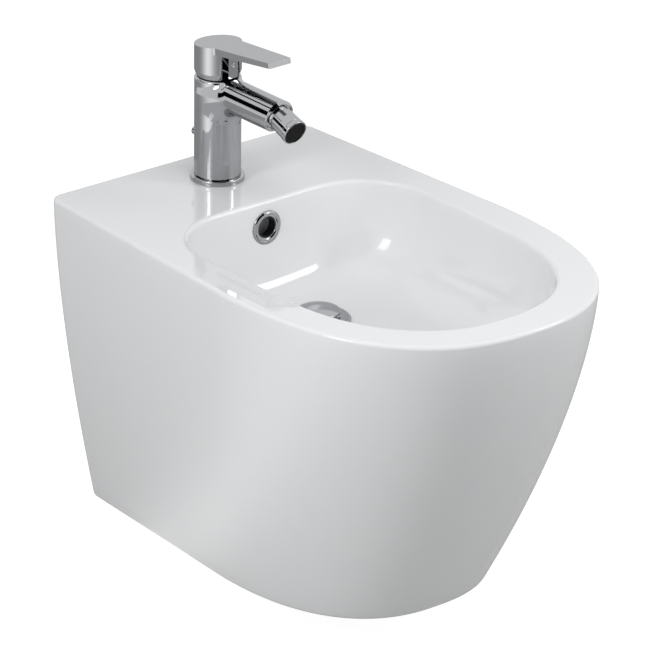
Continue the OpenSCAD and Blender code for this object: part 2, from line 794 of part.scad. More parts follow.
module three_ports(z, h, r) {
    for (p = [[-inlet_x, 0], [inlet_x, 0], [0, -outlet_y]]) translate([p[0], p[1], z]) cylinder(r = r, h = h);
}

module cartridge_base() {
    color("ivory") at_tap() difference() {
        translate([0, 0, base_low]) cylinder(r = cage_r, h = base_t);
        three_ports(base_low - cut, base_t + 2 * cut, feed_r);
        three_ports(base_low - cut, cut + 1.3, port_seal_r);
    }
}

module cartridge_seals() {
    color("dimgray") at_tap() for (p = [[-inlet_x, 0], [inlet_x, 0], [0, -outlet_y]])
        translate([p[0], p[1], 0]) ring(port_seal_r - seat_gap, feed_r + 0.2, chamber_z, 1.5);
}

module fixed_disc() {
    color("whitesmoke") at_tap() difference() {
        translate([0, 0, fixed_low]) cylinder(r = cage_r - 3, h = fixed_t);
        three_ports(fixed_low - cut, fixed_t + 2 * cut, feed_r - 0.5);
    }
}

stem_tip_r = 1.8;
tip_z = moving_low + socket_z + 0.3 + stem_tip_r;
module moving_disc() {
    color("whitesmoke") at_tap() difference() {
        translate([0, 0, moving_low]) cylinder(r = 10.5, h = moving_t);
        translate([-5, -6.5, moving_low - cut]) cube([10, 11, cut + 1.2]);
        translate([0, 0, moving_low + socket_z]) cylinder(r = stem_tip_r + 0.25, h = moving_t);
        translate([0, 0, tip_z + 0.3]) cylinder(r = stem_tip_r + 1, h = moving_t);
    }
}

module cartridge_housing() {
    top_t = 3;
    wall = 2.4;
    housing_top = carrier_top - 1;
    color("ivory") at_tap() difference() {
        translate([0, 0, fixed_low]) cylinder(r = cage_r, h = housing_top - fixed_low);
        translate([0, 0, fixed_low - cut])
            cylinder(r = cage_r - wall, h = housing_top - top_t - fixed_low + cut);
        translate([0, 0, fixed_low]) cylinder(r = carrier_r + run_gap, h = housing_top - fixed_low + cut);
    }
}

module stem_carrier() {
    flange_top = carrier_top - 4 - run_gap;
    color("gray") at_tap() difference() {
        union() {
            translate([0, 0, carrier_low]) cylinder(r = carrier_r + 2, h = flange_top - carrier_low);
            translate([0, 0, carrier_low]) cylinder(r = carrier_r, h = carrier_top - carrier_low);
        }
        translate([-3.8, -6, carrier_low - cut]) cube([7.6, 14.5, carrier_top - carrier_low + 2 * cut]);
        translate([-carrier_r, 0, rock_z]) rotate([0, 90, 0]) cylinder(r = 1.5 + run_gap, h = 2 * carrier_r);
    }
}

module pivot_pin() {
    color("silver") at_tap() translate([-carrier_r + 1, 0, rock_z]) rotate([0, 90, 0])
        cylinder(r = 1.5, h = 2 * carrier_r - 2);
}

stem_w = 7;
stem_top = tap_h + 21;
module cartridge_stem() {
    color("silver") at_tap() difference() {
        union() {
            translate([-stem_w / 2, -stem_w / 2, rock_z - 3]) cube([stem_w, stem_w, stem_top - rock_z + 3]);
            translate([0, 0, tip_z]) cylinder(r = stem_tip_r - 0.3, h = rock_z - tip_z);
            translate([0, 0, tip_z]) sphere(r = stem_tip_r);
        }
        translate([-stem_w, 0, rock_z]) rotate([0, 90, 0]) cylinder(r = 1.5 + 0.01, h = 2 * stem_w);
    }
}

module cartridge_nut() {
    nut_low = carrier_top - 1 + 0.1;
    color("goldenrod") at_tap() difference() {
        union() {
            translate([0, 0, nut_low]) cylinder(r = thread_r - run_gap, h = 6);
            translate([0, 0, nut_low + 6]) cylinder(r = thread_r - run_gap, h = 5, $fn = 6);
        }
        translate([0, 0, nut_low - cut]) cylinder(r = 12.5, h = 14);
    }
}

// Lever: a round head with a flat blade, one plane on top
head_r = head_d / 2;
head_low = tap_h + head_gap;
head_bevel = 5.5;
lip_r = head_r - 2;
hollow_r = lip_r - 0.4;
ceiling = head_top - blade_t - 1;
rib_low = head_low + 2;
rib_block_low = tap_h + 3;
rib_front = head_r + 0.6;
screw_z = 127.5;
grub_r = 2.4;

// The blade narrows from its root, which is a little narrower than the head, to its tip
module blade_outline() {
    tip = blade_tip_w / 2;
    corner = 2;
    polygon(concat(
        [[-blade_root_w / 2, 0]],
        [for (a = [180:15:270]) [-tip + corner + corner * cos(a), -blade_l + corner + corner * sin(a)]],
        [for (a = [270:15:360]) [tip - corner + corner * cos(a), -blade_l + corner + corner * sin(a)]],
        [[blade_root_w / 2, 0]]));
}

// The blade's own frame: its top face is the plane z = 0 and it runs along -Y
module at_blade() {
    translate([0, 0, head_top]) rotate([-blade_rise, 0, 0]) children();
}

module blade() {
    thin = atan2(blade_t - blade_tip_t, blade_l - head_r);
    at_blade() difference() {
        translate([0, 0, -blade_t]) linear_extrude(height = blade_t) blade_outline();
        translate([-head_r, -head_r, -blade_t]) rotate([thin, 0, 180]) translate([-2 * head_r, 0, -blade_t])
            cube([4 * head_r, 2 * blade_l, blade_t]);
    }
}

module head_shell() {
    difference() {
        union() {
            translate([0, 0, head_low + head_bevel]) cylinder(r = head_r, h = head_top);
            translate([0, 0, head_low]) cylinder(r1 = lip_r, r2 = head_r, h = head_bevel);
        }
        at_blade() translate([-2 * head_r, -2 * head_r, 0]) cube([4 * head_r, 4 * head_r, head_top]);
        translate([0, 0, head_low - cut]) cylinder(r = hollow_r, h = ceiling - head_low + cut);
        translate([-window_w / 2, -2 * head_r, head_low - cut])
            cube([window_w, 2 * head_r, ceiling - head_low + cut]);
    }
}

module rib() {
    difference() {
        union() {
            translate([-rib_w / 2, -rib_front, rib_low]) cube([rib_w, rib_front - 17, ceiling - rib_low + 1]);
            translate([-rib_w / 2, -rib_front, rib_block_low])
                cube([rib_w, rib_front + 7, ceiling - rib_block_low + 1]);
        }
        translate([-stem_w / 2 - run_gap, -stem_w / 2 - run_gap, rib_block_low - cut])
            cube([stem_w + 2 * run_gap, stem_w + 2 * run_gap, stem_top - rib_block_low + cut + 0.2]);
        translate([0, 0, screw_z]) rod_y(grub_r + run_gap, -rib_front - cut, 0);
        translate([0, 0, screw_z]) rod_y(grub_r + 0.4, -rib_front - cut, -rib_front + 4);
    }
}

module lever() {
    color("silver") at_tap() union() {
        head_shell();
        blade();
        rib();
    }
}

module set_screw() {
    color("dimgray") at_tap() translate([0, 0, screw_z]) rod_y(grub_r, -stem_w / 2 - 9, -stem_w / 2);
}

module screw_cap() {
    color("silver") at_tap() translate([0, 0, screw_z])
        rod_y(grub_r + 0.3, -rib_front - 0.3, -rib_front + 3.9);
}

// Nozzle, along its own axis from the spout's end face
module nozzle_liner() {
    color("white") at_nozzle() translate([0, 0, -ball_set]) difference() {
        sphere(r = liner_r);
        sphere(r = ball_r + run_gap);
        translate([0, 0, -liner_set]) cylinder(r = 2 * ball_r, h = 2 * ball_r);
        translate([0, 0, -liner_set - liner_w - 2 * ball_r]) cylinder(r = 2 * ball_r, h = 2 * ball_r);
    }
}

module nozzle_retaining_ring() {
    color("silver") at_nozzle() difference() {
        translate([0, 0, -ball_set + 0.3]) cylinder(r = socket_r + 0.3, h = ball_set - 1.8);
        translate([0, 0, -ball_set]) sphere(r = ball_r + run_gap);
    }
}

neck_r = 8;
module nozzle_ball() {
    color("silver") at_nozzle() difference() {
        union() {
            translate([0, 0, -ball_set]) sphere(r = ball_r);
            translate([0, 0, -ball_set]) cylinder(r = neck_r, h = ball_set + 8);
        }
        translate([0, 0, -ball_set - ball_r]) cylinder(r = 5, h = ball_r + ball_set + 10);
        translate([0, 0, 2.2]) ring(2 * ball_r, neck_r, 0, ball_r);
    }
}

barrel_low = 2.2;
barrel_top = nozzle_l - aerator_l;
// Width of the aerator ring's rim round the screen, and the bevel of its edge
aerator_rim = 1.2;
aerator_bevel = 0.6;
module nozzle_barrel() {
    color("silver") at_nozzle() difference() {
        union() {
            translate([0, 0, barrel_low]) cylinder(r1 = barrel_d / 2 - 0.8, r2 = barrel_d / 2, h = 0.8);
            translate([0, 0, barrel_low + 0.8])
                cylinder(r1 = barrel_d / 2, r2 = aerator_d / 2 - 0.4, h = barrel_top - barrel_low - 0.8);
        }
        translate([0, 0, barrel_low - cut]) cylinder(r = neck_r + run_gap, h = 8);
        translate([0, 0, 8 + seat_gap]) cylinder(r = aerator_d / 2 - 2.4, h = nozzle_l);
    }
}

module nozzle_seal() {
    color("dimgray") at_nozzle() ring(aerator_d / 2 - 2.6, 6, 8 + seat_gap, 2);
}

module aerator_ring() {
    color("silver") at_nozzle() difference() {
        union() {
            translate([0, 0, barrel_top + 0.2]) cylinder(d = aerator_d, h = aerator_l - 0.2 - aerator_bevel);
            translate([0, 0, nozzle_l - aerator_bevel])
                cylinder(d1 = aerator_d, d2 = aerator_d - 2 * aerator_bevel, h = aerator_bevel);
            translate([0, 0, barrel_top - 6]) cylinder(r = aerator_d / 2 - 2.6, h = 7);
        }
        translate([0, 0, barrel_top - 7]) cylinder(r = aerator_d / 2 - 3.8, h = nozzle_l);
        translate([0, 0, nozzle_l - 3]) cylinder(r = aerator_d / 2 - aerator_rim, h = 4);
    }
}

module aerator_screen() {
    screen_r = aerator_d / 2 - aerator_rim - seat_gap;
    hole_gap = 3.4;
    color("dimgray") at_nozzle() difference() {
        union() {
            translate([0, 0, nozzle_l - 3]) cylinder(r = screen_r, h = 2.2);
            translate([0, 0, barrel_top - 5]) cylinder(r = aerator_d / 2 - 4, h = aerator_l + 3);
        }
        for (i = [-2:2]) for (j = [-2:2]) if (norm([i, j]) < 2.6)
            translate([i * hole_gap, j * hole_gap, barrel_top - 7]) cylinder(r = 0.8, h = nozzle_l, $fn = 16);
    }
}

ceramic_body();
wall_studs();
stud_sleeves();
stud_washers();
stud_nuts();
overflow_ring();
waste_flange();
flange_gasket();
lower_waste_seal();
waste_lock_nut();
waste_tee();
tail_pipe();
ball_seals();
ball_nut();
pivot_ball();
pivot_rod();
plug_cap();
plug_stem();
plug_seal();
lift_rod();
lift_knob();
rod_clip();
clip_screw();
link_strap();
base_ring();
base_gasket();
mixer_body();
fixing_stud();
clamp_pad();
clamp_plate();
fixing_nut();
cartridge_base();
cartridge_seals();
fixed_disc();
moving_disc();
cartridge_housing();
stem_carrier();
pivot_pin();
cartridge_stem();
cartridge_nut();
lever();
set_screw();
screw_cap();
nozzle_liner();
nozzle_retaining_ring();
nozzle_ball();
nozzle_barrel();
nozzle_seal();
aerator_ring();
aerator_screen();
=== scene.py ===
# %% [markdown]
# # A wall-hung bidet in Blender
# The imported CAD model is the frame: it fixes where each piece is and what it moves with. This script
# dresses it. Each cell makes one piece or one finish, and says first what the real thing is.
# All sizes are written in millimetres, as a sanitary-ware drawing has them, and turned to metres once.

# %% Load the frame
import json
import math

import bmesh
import bpy
import numpy as np
from mathutils import Matrix, Vector


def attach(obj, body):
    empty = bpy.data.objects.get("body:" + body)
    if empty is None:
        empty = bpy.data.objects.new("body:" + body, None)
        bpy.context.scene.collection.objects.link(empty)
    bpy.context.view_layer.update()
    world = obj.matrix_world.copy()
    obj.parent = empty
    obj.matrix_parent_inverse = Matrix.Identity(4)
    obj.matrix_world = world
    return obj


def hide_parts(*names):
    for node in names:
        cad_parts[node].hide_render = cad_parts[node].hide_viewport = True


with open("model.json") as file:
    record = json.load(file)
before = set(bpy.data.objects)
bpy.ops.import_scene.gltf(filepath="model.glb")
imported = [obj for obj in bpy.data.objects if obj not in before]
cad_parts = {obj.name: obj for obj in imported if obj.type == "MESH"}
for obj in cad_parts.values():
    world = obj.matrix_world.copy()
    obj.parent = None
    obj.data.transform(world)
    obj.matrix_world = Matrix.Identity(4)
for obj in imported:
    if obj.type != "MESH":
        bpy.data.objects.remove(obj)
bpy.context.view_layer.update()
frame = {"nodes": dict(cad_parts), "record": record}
nodes = frame["nodes"]
MM = 0.001

# %% [markdown]
# ## The levels that everything is drawn from
# The wall is the plane y = 0 and the bowl reaches towards -Y. Height 0 is the line of the wall studs,
# 267 mm above the underside. The deck is the flat top that carries the mixer.

# %% Levels and axes
UNDERSIDE = -267
DECK = 75
BOWL_FLOOR = -25
TAP = Vector((0, -63, DECK))
WASTE = Vector((0, -226, BOWL_FLOOR))

# %% [markdown]
# ## The camera
# The photograph was taken from the left front, a little from above, through a long lens: the edges
# of the deck hardly converge. Angle, distance and lens come from fitting the body's outlines, so the
# camera is set from those numbers and not moved by eye.

# %% Camera
PHOTO_PX = 650
FOCAL_PX = 5520
AZIMUTH, ELEVATION, ROLL = math.radians(-39.53), math.radians(23.66), math.radians(0.77)
LOOK_AT = Vector((0, -247.2, -83.9))
CENTRE_PX = (327.3, 332.1)
STAND = Vector((-4.15, 48.5, 5479))

back = Vector((math.sin(AZIMUTH) * math.cos(ELEVATION), -math.cos(AZIMUTH) * math.cos(ELEVATION),
               math.sin(ELEVATION)))
right = Vector((math.cos(AZIMUTH), math.sin(AZIMUTH), 0))
upright = Matrix((right, back.cross(right), back))
turn = Matrix.Rotation(-ROLL, 3, "Z") @ upright
camera_data = bpy.data.cameras.new("Camera")
camera_data.lens = camera_data.sensor_width * FOCAL_PX / PHOTO_PX
camera_data.shift_x = (PHOTO_PX / 2 - CENTRE_PX[0]) / PHOTO_PX
camera_data.shift_y = (CENTRE_PX[1] - PHOTO_PX / 2) / PHOTO_PX
camera_data.clip_end = 50
camera = bpy.data.objects.new("Camera", camera_data)
bpy.context.scene.collection.objects.link(camera)
eye = (LOOK_AT + turn.transposed() @ STAND) * MM
camera.matrix_world = Matrix.Translation(eye) @ turn.transposed().to_4x4()
bpy.context.scene.camera = camera
print("camera at", [round(v, 3) for v in eye], "lens", round(camera_data.lens, 1))

# %% [markdown]
# ## Colour and node helpers
# Blender's sockets want linear light, while a colour picked from a photograph is in sRGB, so one
# function turns a hex value. Another adds a node with its settings and its links in one go.

# %% Helpers for materials
def linear(hex_value):
    """An sRGB hex colour as the linear RGBA that sockets take."""
    levels = [int(hex_value[i:i + 2], 16) / 255 for i in (1, 3, 5)]
    return [v / 12.92 if v <= 0.04045 else ((v + 0.055) / 1.055) ** 2.4 for v in levels] + [1.0]


def socket(sockets, name):
    """The socket of that name that is in use: a Mix node has one per data type."""
    return next(s for s in sockets if s.name == name and s.enabled)


def add_node(tree, kind, inputs=None, **settings):
    """A node with its settings; an input is a value, or a (node, socket) pair to link from."""
    node = tree.nodes.new(kind)
    for name, value in settings.items():
        setattr(node, name, value)
    for name, value in (inputs or {}).items():
        if isinstance(value, tuple) and isinstance(value[0], bpy.types.Node):
            tree.links.new(socket(value[0].outputs, value[1]), socket(node.inputs, name))
        else:
            socket(node.inputs, name).default_value = value
    return node


def new_material(name):
    """An empty node material and its output node."""
    material = bpy.data.materials.new(name)
    material.use_nodes = True
    material.node_tree.nodes.clear()
    return material, material.node_tree.nodes.new("ShaderNodeOutputMaterial")


def surface(name, colour, roughness, metallic=0.0, mottle=None, bump=None, smear=None, **sockets):
    """A finish of one Principled shader.
    mottle is (second colour, patch size in mm), bump is (depth in mm, grain size in mm), and smear
    is (highest roughness, patch size in mm)."""
    material, output = new_material(name)
    tree = material.node_tree
    place = add_node(tree, "ShaderNodeTexCoord")
    inputs = {"Base Color": linear(colour), "Roughness": roughness, "Metallic": metallic}
    if mottle:
        patch = add_node(tree, "ShaderNodeTexNoise", {
            "Vector": (place, "Object"), "Scale": 1 / (mottle[1] * MM), "Detail": 3.0})
        blend = add_node(tree, "ShaderNodeMix", {
            "Factor": (patch, "Fac"), "A": linear(colour), "B": linear(mottle[0])}, data_type="RGBA")
        inputs["Base Color"] = (blend, "Result")
    if smear:
        film = add_node(tree, "ShaderNodeTexNoise", {
            "Vector": (place, "Object"), "Scale": 1 / (smear[1] * MM), "Detail": 4.0})
        spread = add_node(tree, "ShaderNodeMapRange", {
            "Value": (film, "Fac"), "From Min": 0.35, "From Max": 0.7,
            "To Min": roughness, "To Max": smear[0]})
        inputs["Roughness"] = (spread, "Result")
    if bump:
        grain = add_node(tree, "ShaderNodeTexNoise", {
            "Vector": (place, "Object"), "Scale": 1 / (bump[1] * MM), "Detail": 2.0})
        relief = add_node(tree, "ShaderNodeBump", {
            "Height": (grain, "Fac"), "Distance": bump[0] * MM, "Strength": 1.0})
        inputs["Normal"] = (relief, "Normal")
    shader = add_node(tree, "ShaderNodeBsdfPrincipled", {**inputs, **sockets})
    tree.links.new(shader.outputs["BSDF"], output.inputs["Surface"])
    return material

# %% [markdown]
# ## The finishes
# Vitreous china under a clear fired glaze is white with a faint warm cast, and mirrors a lamp as
# glass does (IOR 1.5). The glaze levels itself while it melts, which leaves waves a few centimetres
# long and some hundredths of a millimetre deep; they are what makes a highlight on china wander.
# Chrome plate is a metal with almost no roughness, and the film of handling dulls it in patches.

# %% Finishes
FINISH = {
    "glaze": surface("fired_glaze_on_vitreous_china", "#ECEDEE", 0.03, mottle=("#EAEBED", 90),
                     bump=(0.012, 45), smear=(0.05, 120), IOR=1.5),
    "chrome": surface("bright_chrome_plate_on_brass", "#B0B1B3", 0.03, 1.0, smear=(0.06, 25),
                      **{"Specular Tint": linear("#E6E6E6")}),
    "steel": surface("zinc_plated_steel", "#A9AAA8", 0.28, 1.0, mottle=("#9A9B98", 6),
                     bump=(0.01, 0.8)),
    "brass": surface("turned_brass", "#B9904E", 0.24, 1.0, mottle=("#A87F42", 7), smear=(0.38, 5)),
    "rubber": surface("moulded_nitrile_rubber", "#161616", 0.62, mottle=("#202020", 3),
                      bump=(0.03, 0.6)),
    "nylon": surface("moulded_acetal", "#DAD7CE", 0.42, mottle=("#D2CEC3", 9), bump=(0.01, 0.5)),
    "alumina": surface("lapped_alumina_ceramic", "#E6E1D8", 0.2, mottle=("#DDD7CC", 2)),
    "black_plastic": surface("moulded_black_acetal", "#0C0C0D", 0.35, mottle=("#131314", 2)),
}
slot_of = {part["node"]: part["material_slot"] for part in frame["record"]["subparts"]}
for name, node in nodes.items():
    node.data.materials.clear()
    node.data.materials.append(FINISH[slot_of[name]])
print(len(FINISH), "finishes on", len(nodes), "nodes")

# %% [markdown]
# ## Mesh helpers
# Most pieces of a bidet are turned on a lathe, pressed or cast, so they come from a few shapes: a
# profile spun round an axis, a rod, a block, and one solid cut out of another. A profile's corners are
# rounded before it is spun, because no real edge is sharp and a rounded one catches the light.

# %% Helpers for meshes
body_of = {n: b for b, ns in frame["record"]["behaviour"]["bodies"].items() for n in ns}
TURNS = 96


def place_bm(bm, matrix):
    """Moves a bmesh that was drawn in mm to its place, in metres."""
    bm.transform(Matrix.Scale(MM, 4) @ matrix)
    return bm


def turned(profile, place=Matrix.Identity(4), rounds=None, steps=TURNS):
    """A closed profile of (radius, height) points in mm, spun about the local Z axis.
    rounds gives the radius of a profile point's rounded corner, by the point's index."""
    bm = bmesh.new()
    points = [bm.verts.new((radius, 0, height)) for radius, height in profile]
    for pair in zip(points, points[1:] + points[:1]):
        bm.edges.new(pair)
    for index, radius in (rounds or {}).items():
        bmesh.ops.bevel(bm, geom=[points[index]], offset=radius, segments=5, profile=0.5,
                        affect="VERTICES", material=-1)
    bmesh.ops.spin(bm, geom=bm.verts[:] + bm.edges[:], axis=(0, 0, 1), cent=(0, 0, 0),
                   steps=steps, angle=math.tau, use_merge=True)
    bmesh.ops.remove_doubles(bm, verts=bm.verts, dist=1e-4)
    bmesh.ops.recalc_face_normals(bm, faces=bm.faces)
    return place_bm(bm, place)


def rod(radius, start, end, steps=64):
    """A round rod between two points in mm."""
    start, end = Vector(start), Vector(end)
    aim = (end - start).to_track_quat("Z", "Y").to_matrix().to_4x4()
    bm = bmesh.new()
    bmesh.ops.create_cone(bm, cap_ends=True, segments=steps, radius1=radius, radius2=radius,
                          depth=(end - start).length)
    return place_bm(bm, Matrix.Translation((start + end) / 2) @ aim)


def block(low, high, place=Matrix.Identity(4)):
    """A block between two corners in mm."""
    low, high = Vector(low), Vector(high)
    bm = bmesh.new()
    bmesh.ops.create_cube(bm, size=1.0)
    bmesh.ops.scale(bm, vec=high - low, verts=bm.verts)
    bmesh.ops.translate(bm, vec=(low + high) / 2, verts=bm.verts)
    return place_bm(bm, place)


def as_object(bm, name):
    mesh = bpy.data.meshes.new(name)
    bm.to_mesh(mesh)
    bm.free()
    made = bpy.data.objects.new(name, mesh)
    bpy.context.scene.collection.objects.link(made)
    return made


def combine(base, tool, operation="DIFFERENCE"):
    """One solid cut by another, joined to it or kept where both are. Both are used up."""
    pair = [as_object(base, "base"), as_object(tool, "tool")]
    step = pair[0].modifiers.new("step", "BOOLEAN")
    step.operation, step.solver, step.object = operation, "EXACT", pair[1]
    evaluated = pair[0].evaluated_get(bpy.context.evaluated_depsgraph_get())
    result = bmesh.new()
    result.from_mesh(evaluated.to_mesh())
    evaluated.to_mesh_clear()
    for used in pair:
        mesh = used.data
        bpy.data.objects.remove(used)
        bpy.data.meshes.remove(mesh)
    return result


def make_piece(name, bm, finish, node, crease=35):
    """Names a finished bmesh as a piece, gives it its finish, and lets it ride on its body in place
    of the CAD node that it stands for. Edges sharper than crease degrees stay sharp."""
    bmesh.ops.remove_doubles(bm, verts=bm.verts, dist=1e-7)
    piece = as_object(bm, name)
    piece.data.shade_smooth()
    piece.data.set_sharp_from_angle(angle=math.radians(crease))
    piece.data.materials.append(FINISH[finish])
    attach(piece, body_of[node])
    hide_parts(node)
    return piece

# %% [markdown]
# ## The outlines of the ceramic body
# The body is cast in a plaster mould. Seen from above it is straight across the wall, runs out along
# slightly swelling sides and closes in a front that is squarer than an ellipse, so its front is a
# superellipse. Lower down, the same outline draws in at the sides and above all at the front.

# %% Outlines
BACK_HALF, SIDE_HALF, LENGTH, SHOULDER = 165, 180, 547, 299
ROUNDNESS, BACK_CORNER = 2.44, 14
DRAW_BACK, DRAW_SIDE, DRAW_FRONT, DRAW_SHOULDER = 49, 50, 129, 58
SIDE_CURVE, FRONT_CURVE, INNER_CORNER = 1.54, 1.51, 3
HEIGHT, WALL_T, DECK_T = 342, 11, 15
BACK_POINTS, CORNER_POINTS, SIDE_POINTS, FRONT_POINTS = 10, 12, 16, 52


def half_outline(half_back, half_side, start, shoulder, front, roundness, corner):
    """Half an outline in mm, from the middle of its back over one side to the middle of its front."""
    points = [((half_back - corner) * i / BACK_POINTS, -start) for i in range(BACK_POINTS)]
    for i in range(CORNER_POINTS):
        a = math.pi / 2 * i / CORNER_POINTS
        points.append((half_back - corner + corner * math.sin(a),
                       -start - corner + corner * math.cos(a)))
    for i in range(SIDE_POINTS):
        u = i / SIDE_POINTS
        points.append((half_back + (half_side - half_back) * u,
                       -start - corner - (shoulder - start - corner) * u))
    for i in range(FRONT_POINTS + 1):
        a = math.pi / 2 * i / FRONT_POINTS
        points.append((half_side * max(math.cos(a), 0) ** (2 / roundness),
                       -shoulder - (front - shoulder) * math.sin(a) ** (2 / roundness)))
    return points


def whole(half):
    return half + [(-x, y) for x, y in half[-2:0:-1]]


def skin(height, inset):
    """The body's outline at a height above its underside, drawn in by inset."""
    depth = max(1 - height / HEIGHT, 0)
    side, front = depth ** SIDE_CURVE, depth ** FRONT_CURVE
    outline = whole(half_outline(
        BACK_HALF - DRAW_BACK * side - inset, SIDE_HALF - DRAW_SIDE * side - inset, inset,
        SHOULDER - DRAW_SHOULDER * front, LENGTH - DRAW_FRONT * front - inset, ROUNDNESS,
        max(BACK_CORNER - inset, INNER_CORNER)))
    return [Vector((x, y, height + UNDERSIDE)) for x, y in outline]

# %% [markdown]
# ## The bowl
# The deck rolls over into a bowl with two wide back corners. Its walls stay steep and then turn into
# a nearly flat floor round the waste, which again is a superellipse, this time in the vertical plane.

# %% Bowl rings
BOWL_BACK, BOWL_HALF, BOWL_FRONT, BOWL_SHOULDER = 138, 142, 510, 328
BOWL_ROUND, BOWL_CORNER = 2.36, 78
ROLL, BOWL_DEPTH, FULLNESS, BOWL_T = 4, 100, 2.8, 11
LAND_R, CORE_R, WASTE_HOLE_R = 34.5, 17, 23


def bowl_outline(inset):
    return whole(half_outline(BOWL_HALF - inset, BOWL_HALF - inset, BOWL_BACK + inset, BOWL_SHOULDER,
                              BOWL_FRONT - inset, BOWL_ROUND, BOWL_CORNER - inset))


def waste_circle(radius):
    """The bowl's outline shrunk to a circle round the waste, point by point."""
    offsets = [Vector((x, y - WASTE.y)) for x, y in bowl_outline(0)]
    return [(v.normalized() * radius + Vector((0, WASTE.y))) for v in offsets]


def bowl_ring(angle, out):
    """One ring of the bowl between its wall at 0 and its floor at a quarter turn, out mm outwards."""
    inwards = 1 - max(math.cos(angle), 0) ** (2 / FULLNESS)
    down = math.sin(angle) ** (2 / FULLNESS)
    drop = ROLL + (BOWL_DEPTH - ROLL) * down + out * down
    edge, land = bowl_outline(ROLL - out), waste_circle(LAND_R + out)
    return [Vector(((1 - inwards) * a[0] + inwards * b[0], (1 - inwards) * a[1] + inwards * b[1],
                    DECK - drop)) for a, b in zip(edge, land)]


def level(points, height):
    return [Vector((p[0], p[1], height)) for p in points]


def between(ring_a, ring_b, share):
    return [a.lerp(b, share) for a, b in zip(ring_a, ring_b)]

# %% [markdown]
# ## Lofting the ceramic shell
# Cast china is one hollow shell: up the outer skin, over the rim, across the deck, down the bowl and
# back along its underside and the inside of the skin. All rings of the chain have the same number of
# points, so neighbours are joined point by point and the shell is one closed skin with even faces. A
# pair of rings close together beside each rounding keeps the flat deck flat in the shading.

# %% Ceramic shell
RIM_ROUND, BASE_ROUND = 4, 5
WALL_STEPS, BOWL_STEPS, UNDER_STEPS, INNER_STEPS, CROWDING = 26, 40, 24, 12, 1.3


def quarter(steps):
    """The angles of a quarter turn in equal steps, with both ends."""
    return [math.pi / 2 * i / steps for i in range(steps + 1)]


rings = [skin(BASE_ROUND * (1 - math.cos(a)), BASE_ROUND * (1 - math.sin(a))) for a in quarter(5)]
rings += [skin(BASE_ROUND + (HEIGHT - RIM_ROUND - BASE_ROUND) * i / WALL_STEPS, 0)
          for i in range(1, WALL_STEPS)]
rings += [skin(HEIGHT - RIM_ROUND * (1 - math.sin(a)), RIM_ROUND * (1 - math.cos(a)))
          for a in quarter(9)]
deck_edge, bowl_edge = rings[-1], level(bowl_outline(0), DECK)
rings += [between(deck_edge, bowl_edge, share) for share in (0.02, 0.25, 0.5, 0.75, 0.98)]
rings += [level(bowl_outline(ROLL * math.sin(a)), DECK - ROLL * (1 - math.cos(a))) for a in quarter(8)]
rings += [bowl_ring(math.pi / 2 * (i / BOWL_STEPS) ** CROWDING, 0) for i in range(1, BOWL_STEPS + 1)]
rings += [level(waste_circle(CORE_R), BOWL_FLOOR), level(waste_circle(CORE_R), BOWL_FLOOR - BOWL_T)]
rings += [bowl_ring(math.pi / 2 * (i / UNDER_STEPS) ** CROWDING, BOWL_T)
          for i in range(UNDER_STEPS, 3, -1)]
rings += [level(bowl_outline(ROLL - BOWL_T), DECK - DECK_T)]
rings += [skin((HEIGHT - DECK_T) * i / INNER_STEPS, WALL_T) for i in range(INNER_STEPS, -1, -1)]


def loft(chain):
    """Joins each ring of the chain to the next, point by point, and the last to the first."""
    bm = bmesh.new()
    loops = [[bm.verts.new(p) for p in ring] for ring in chain]
    for here, there in zip(loops, loops[1:] + loops[:1]):
        for corners in zip(here, here[1:] + here[:1], there[1:] + there[:1], there):
            bm.faces.new(corners)
    bmesh.ops.recalc_face_normals(bm, faces=bm.faces)
    return place_bm(bm, Matrix.Identity(4))


shell = loft(rings)
print("shell", len(shell.faces), "faces,", round(shell.calc_volume() * 1e6, 3), "litres of china")

# %% [markdown]
# ## Holes, collar and duct
# The holes are cut while the clay is leather-hard: the tap hole, the overflow, the waste, two holes
# for the wall studs and an opening for the pipes. Under the bowl the waste has a collar, and a duct
# behind the bowl leads the overflow down into it.

# %% Cut the ceramic
DUCT_HALF, DUCT_DEEP, DUCT_WALL = 17, 16, 6
DUCT_BACK = BOWL_BACK + ROLL - BOWL_T - DUCT_DEEP + 4
DUCT_LOW = BOWL_FLOOR - BOWL_T - 3 - DUCT_DEEP
DUCT_TOP = DUCT_LOW + DUCT_DEEP
OVERFLOW = Vector((0, -(BOWL_BACK + ROLL), DECK - 28))
OVERFLOW_R, OVERFLOW_SEAT_R, OVERFLOW_SEAT_DEPTH = 13, 18, 12
COLLAR_H, COLLAR_T, TAP_HOLE_R = 42, 11, 17.5
STUD_X, STUD_HOLE_R = 90, 10
PIPES_HALF, PIPES_H = 75, 200
PAST = 1

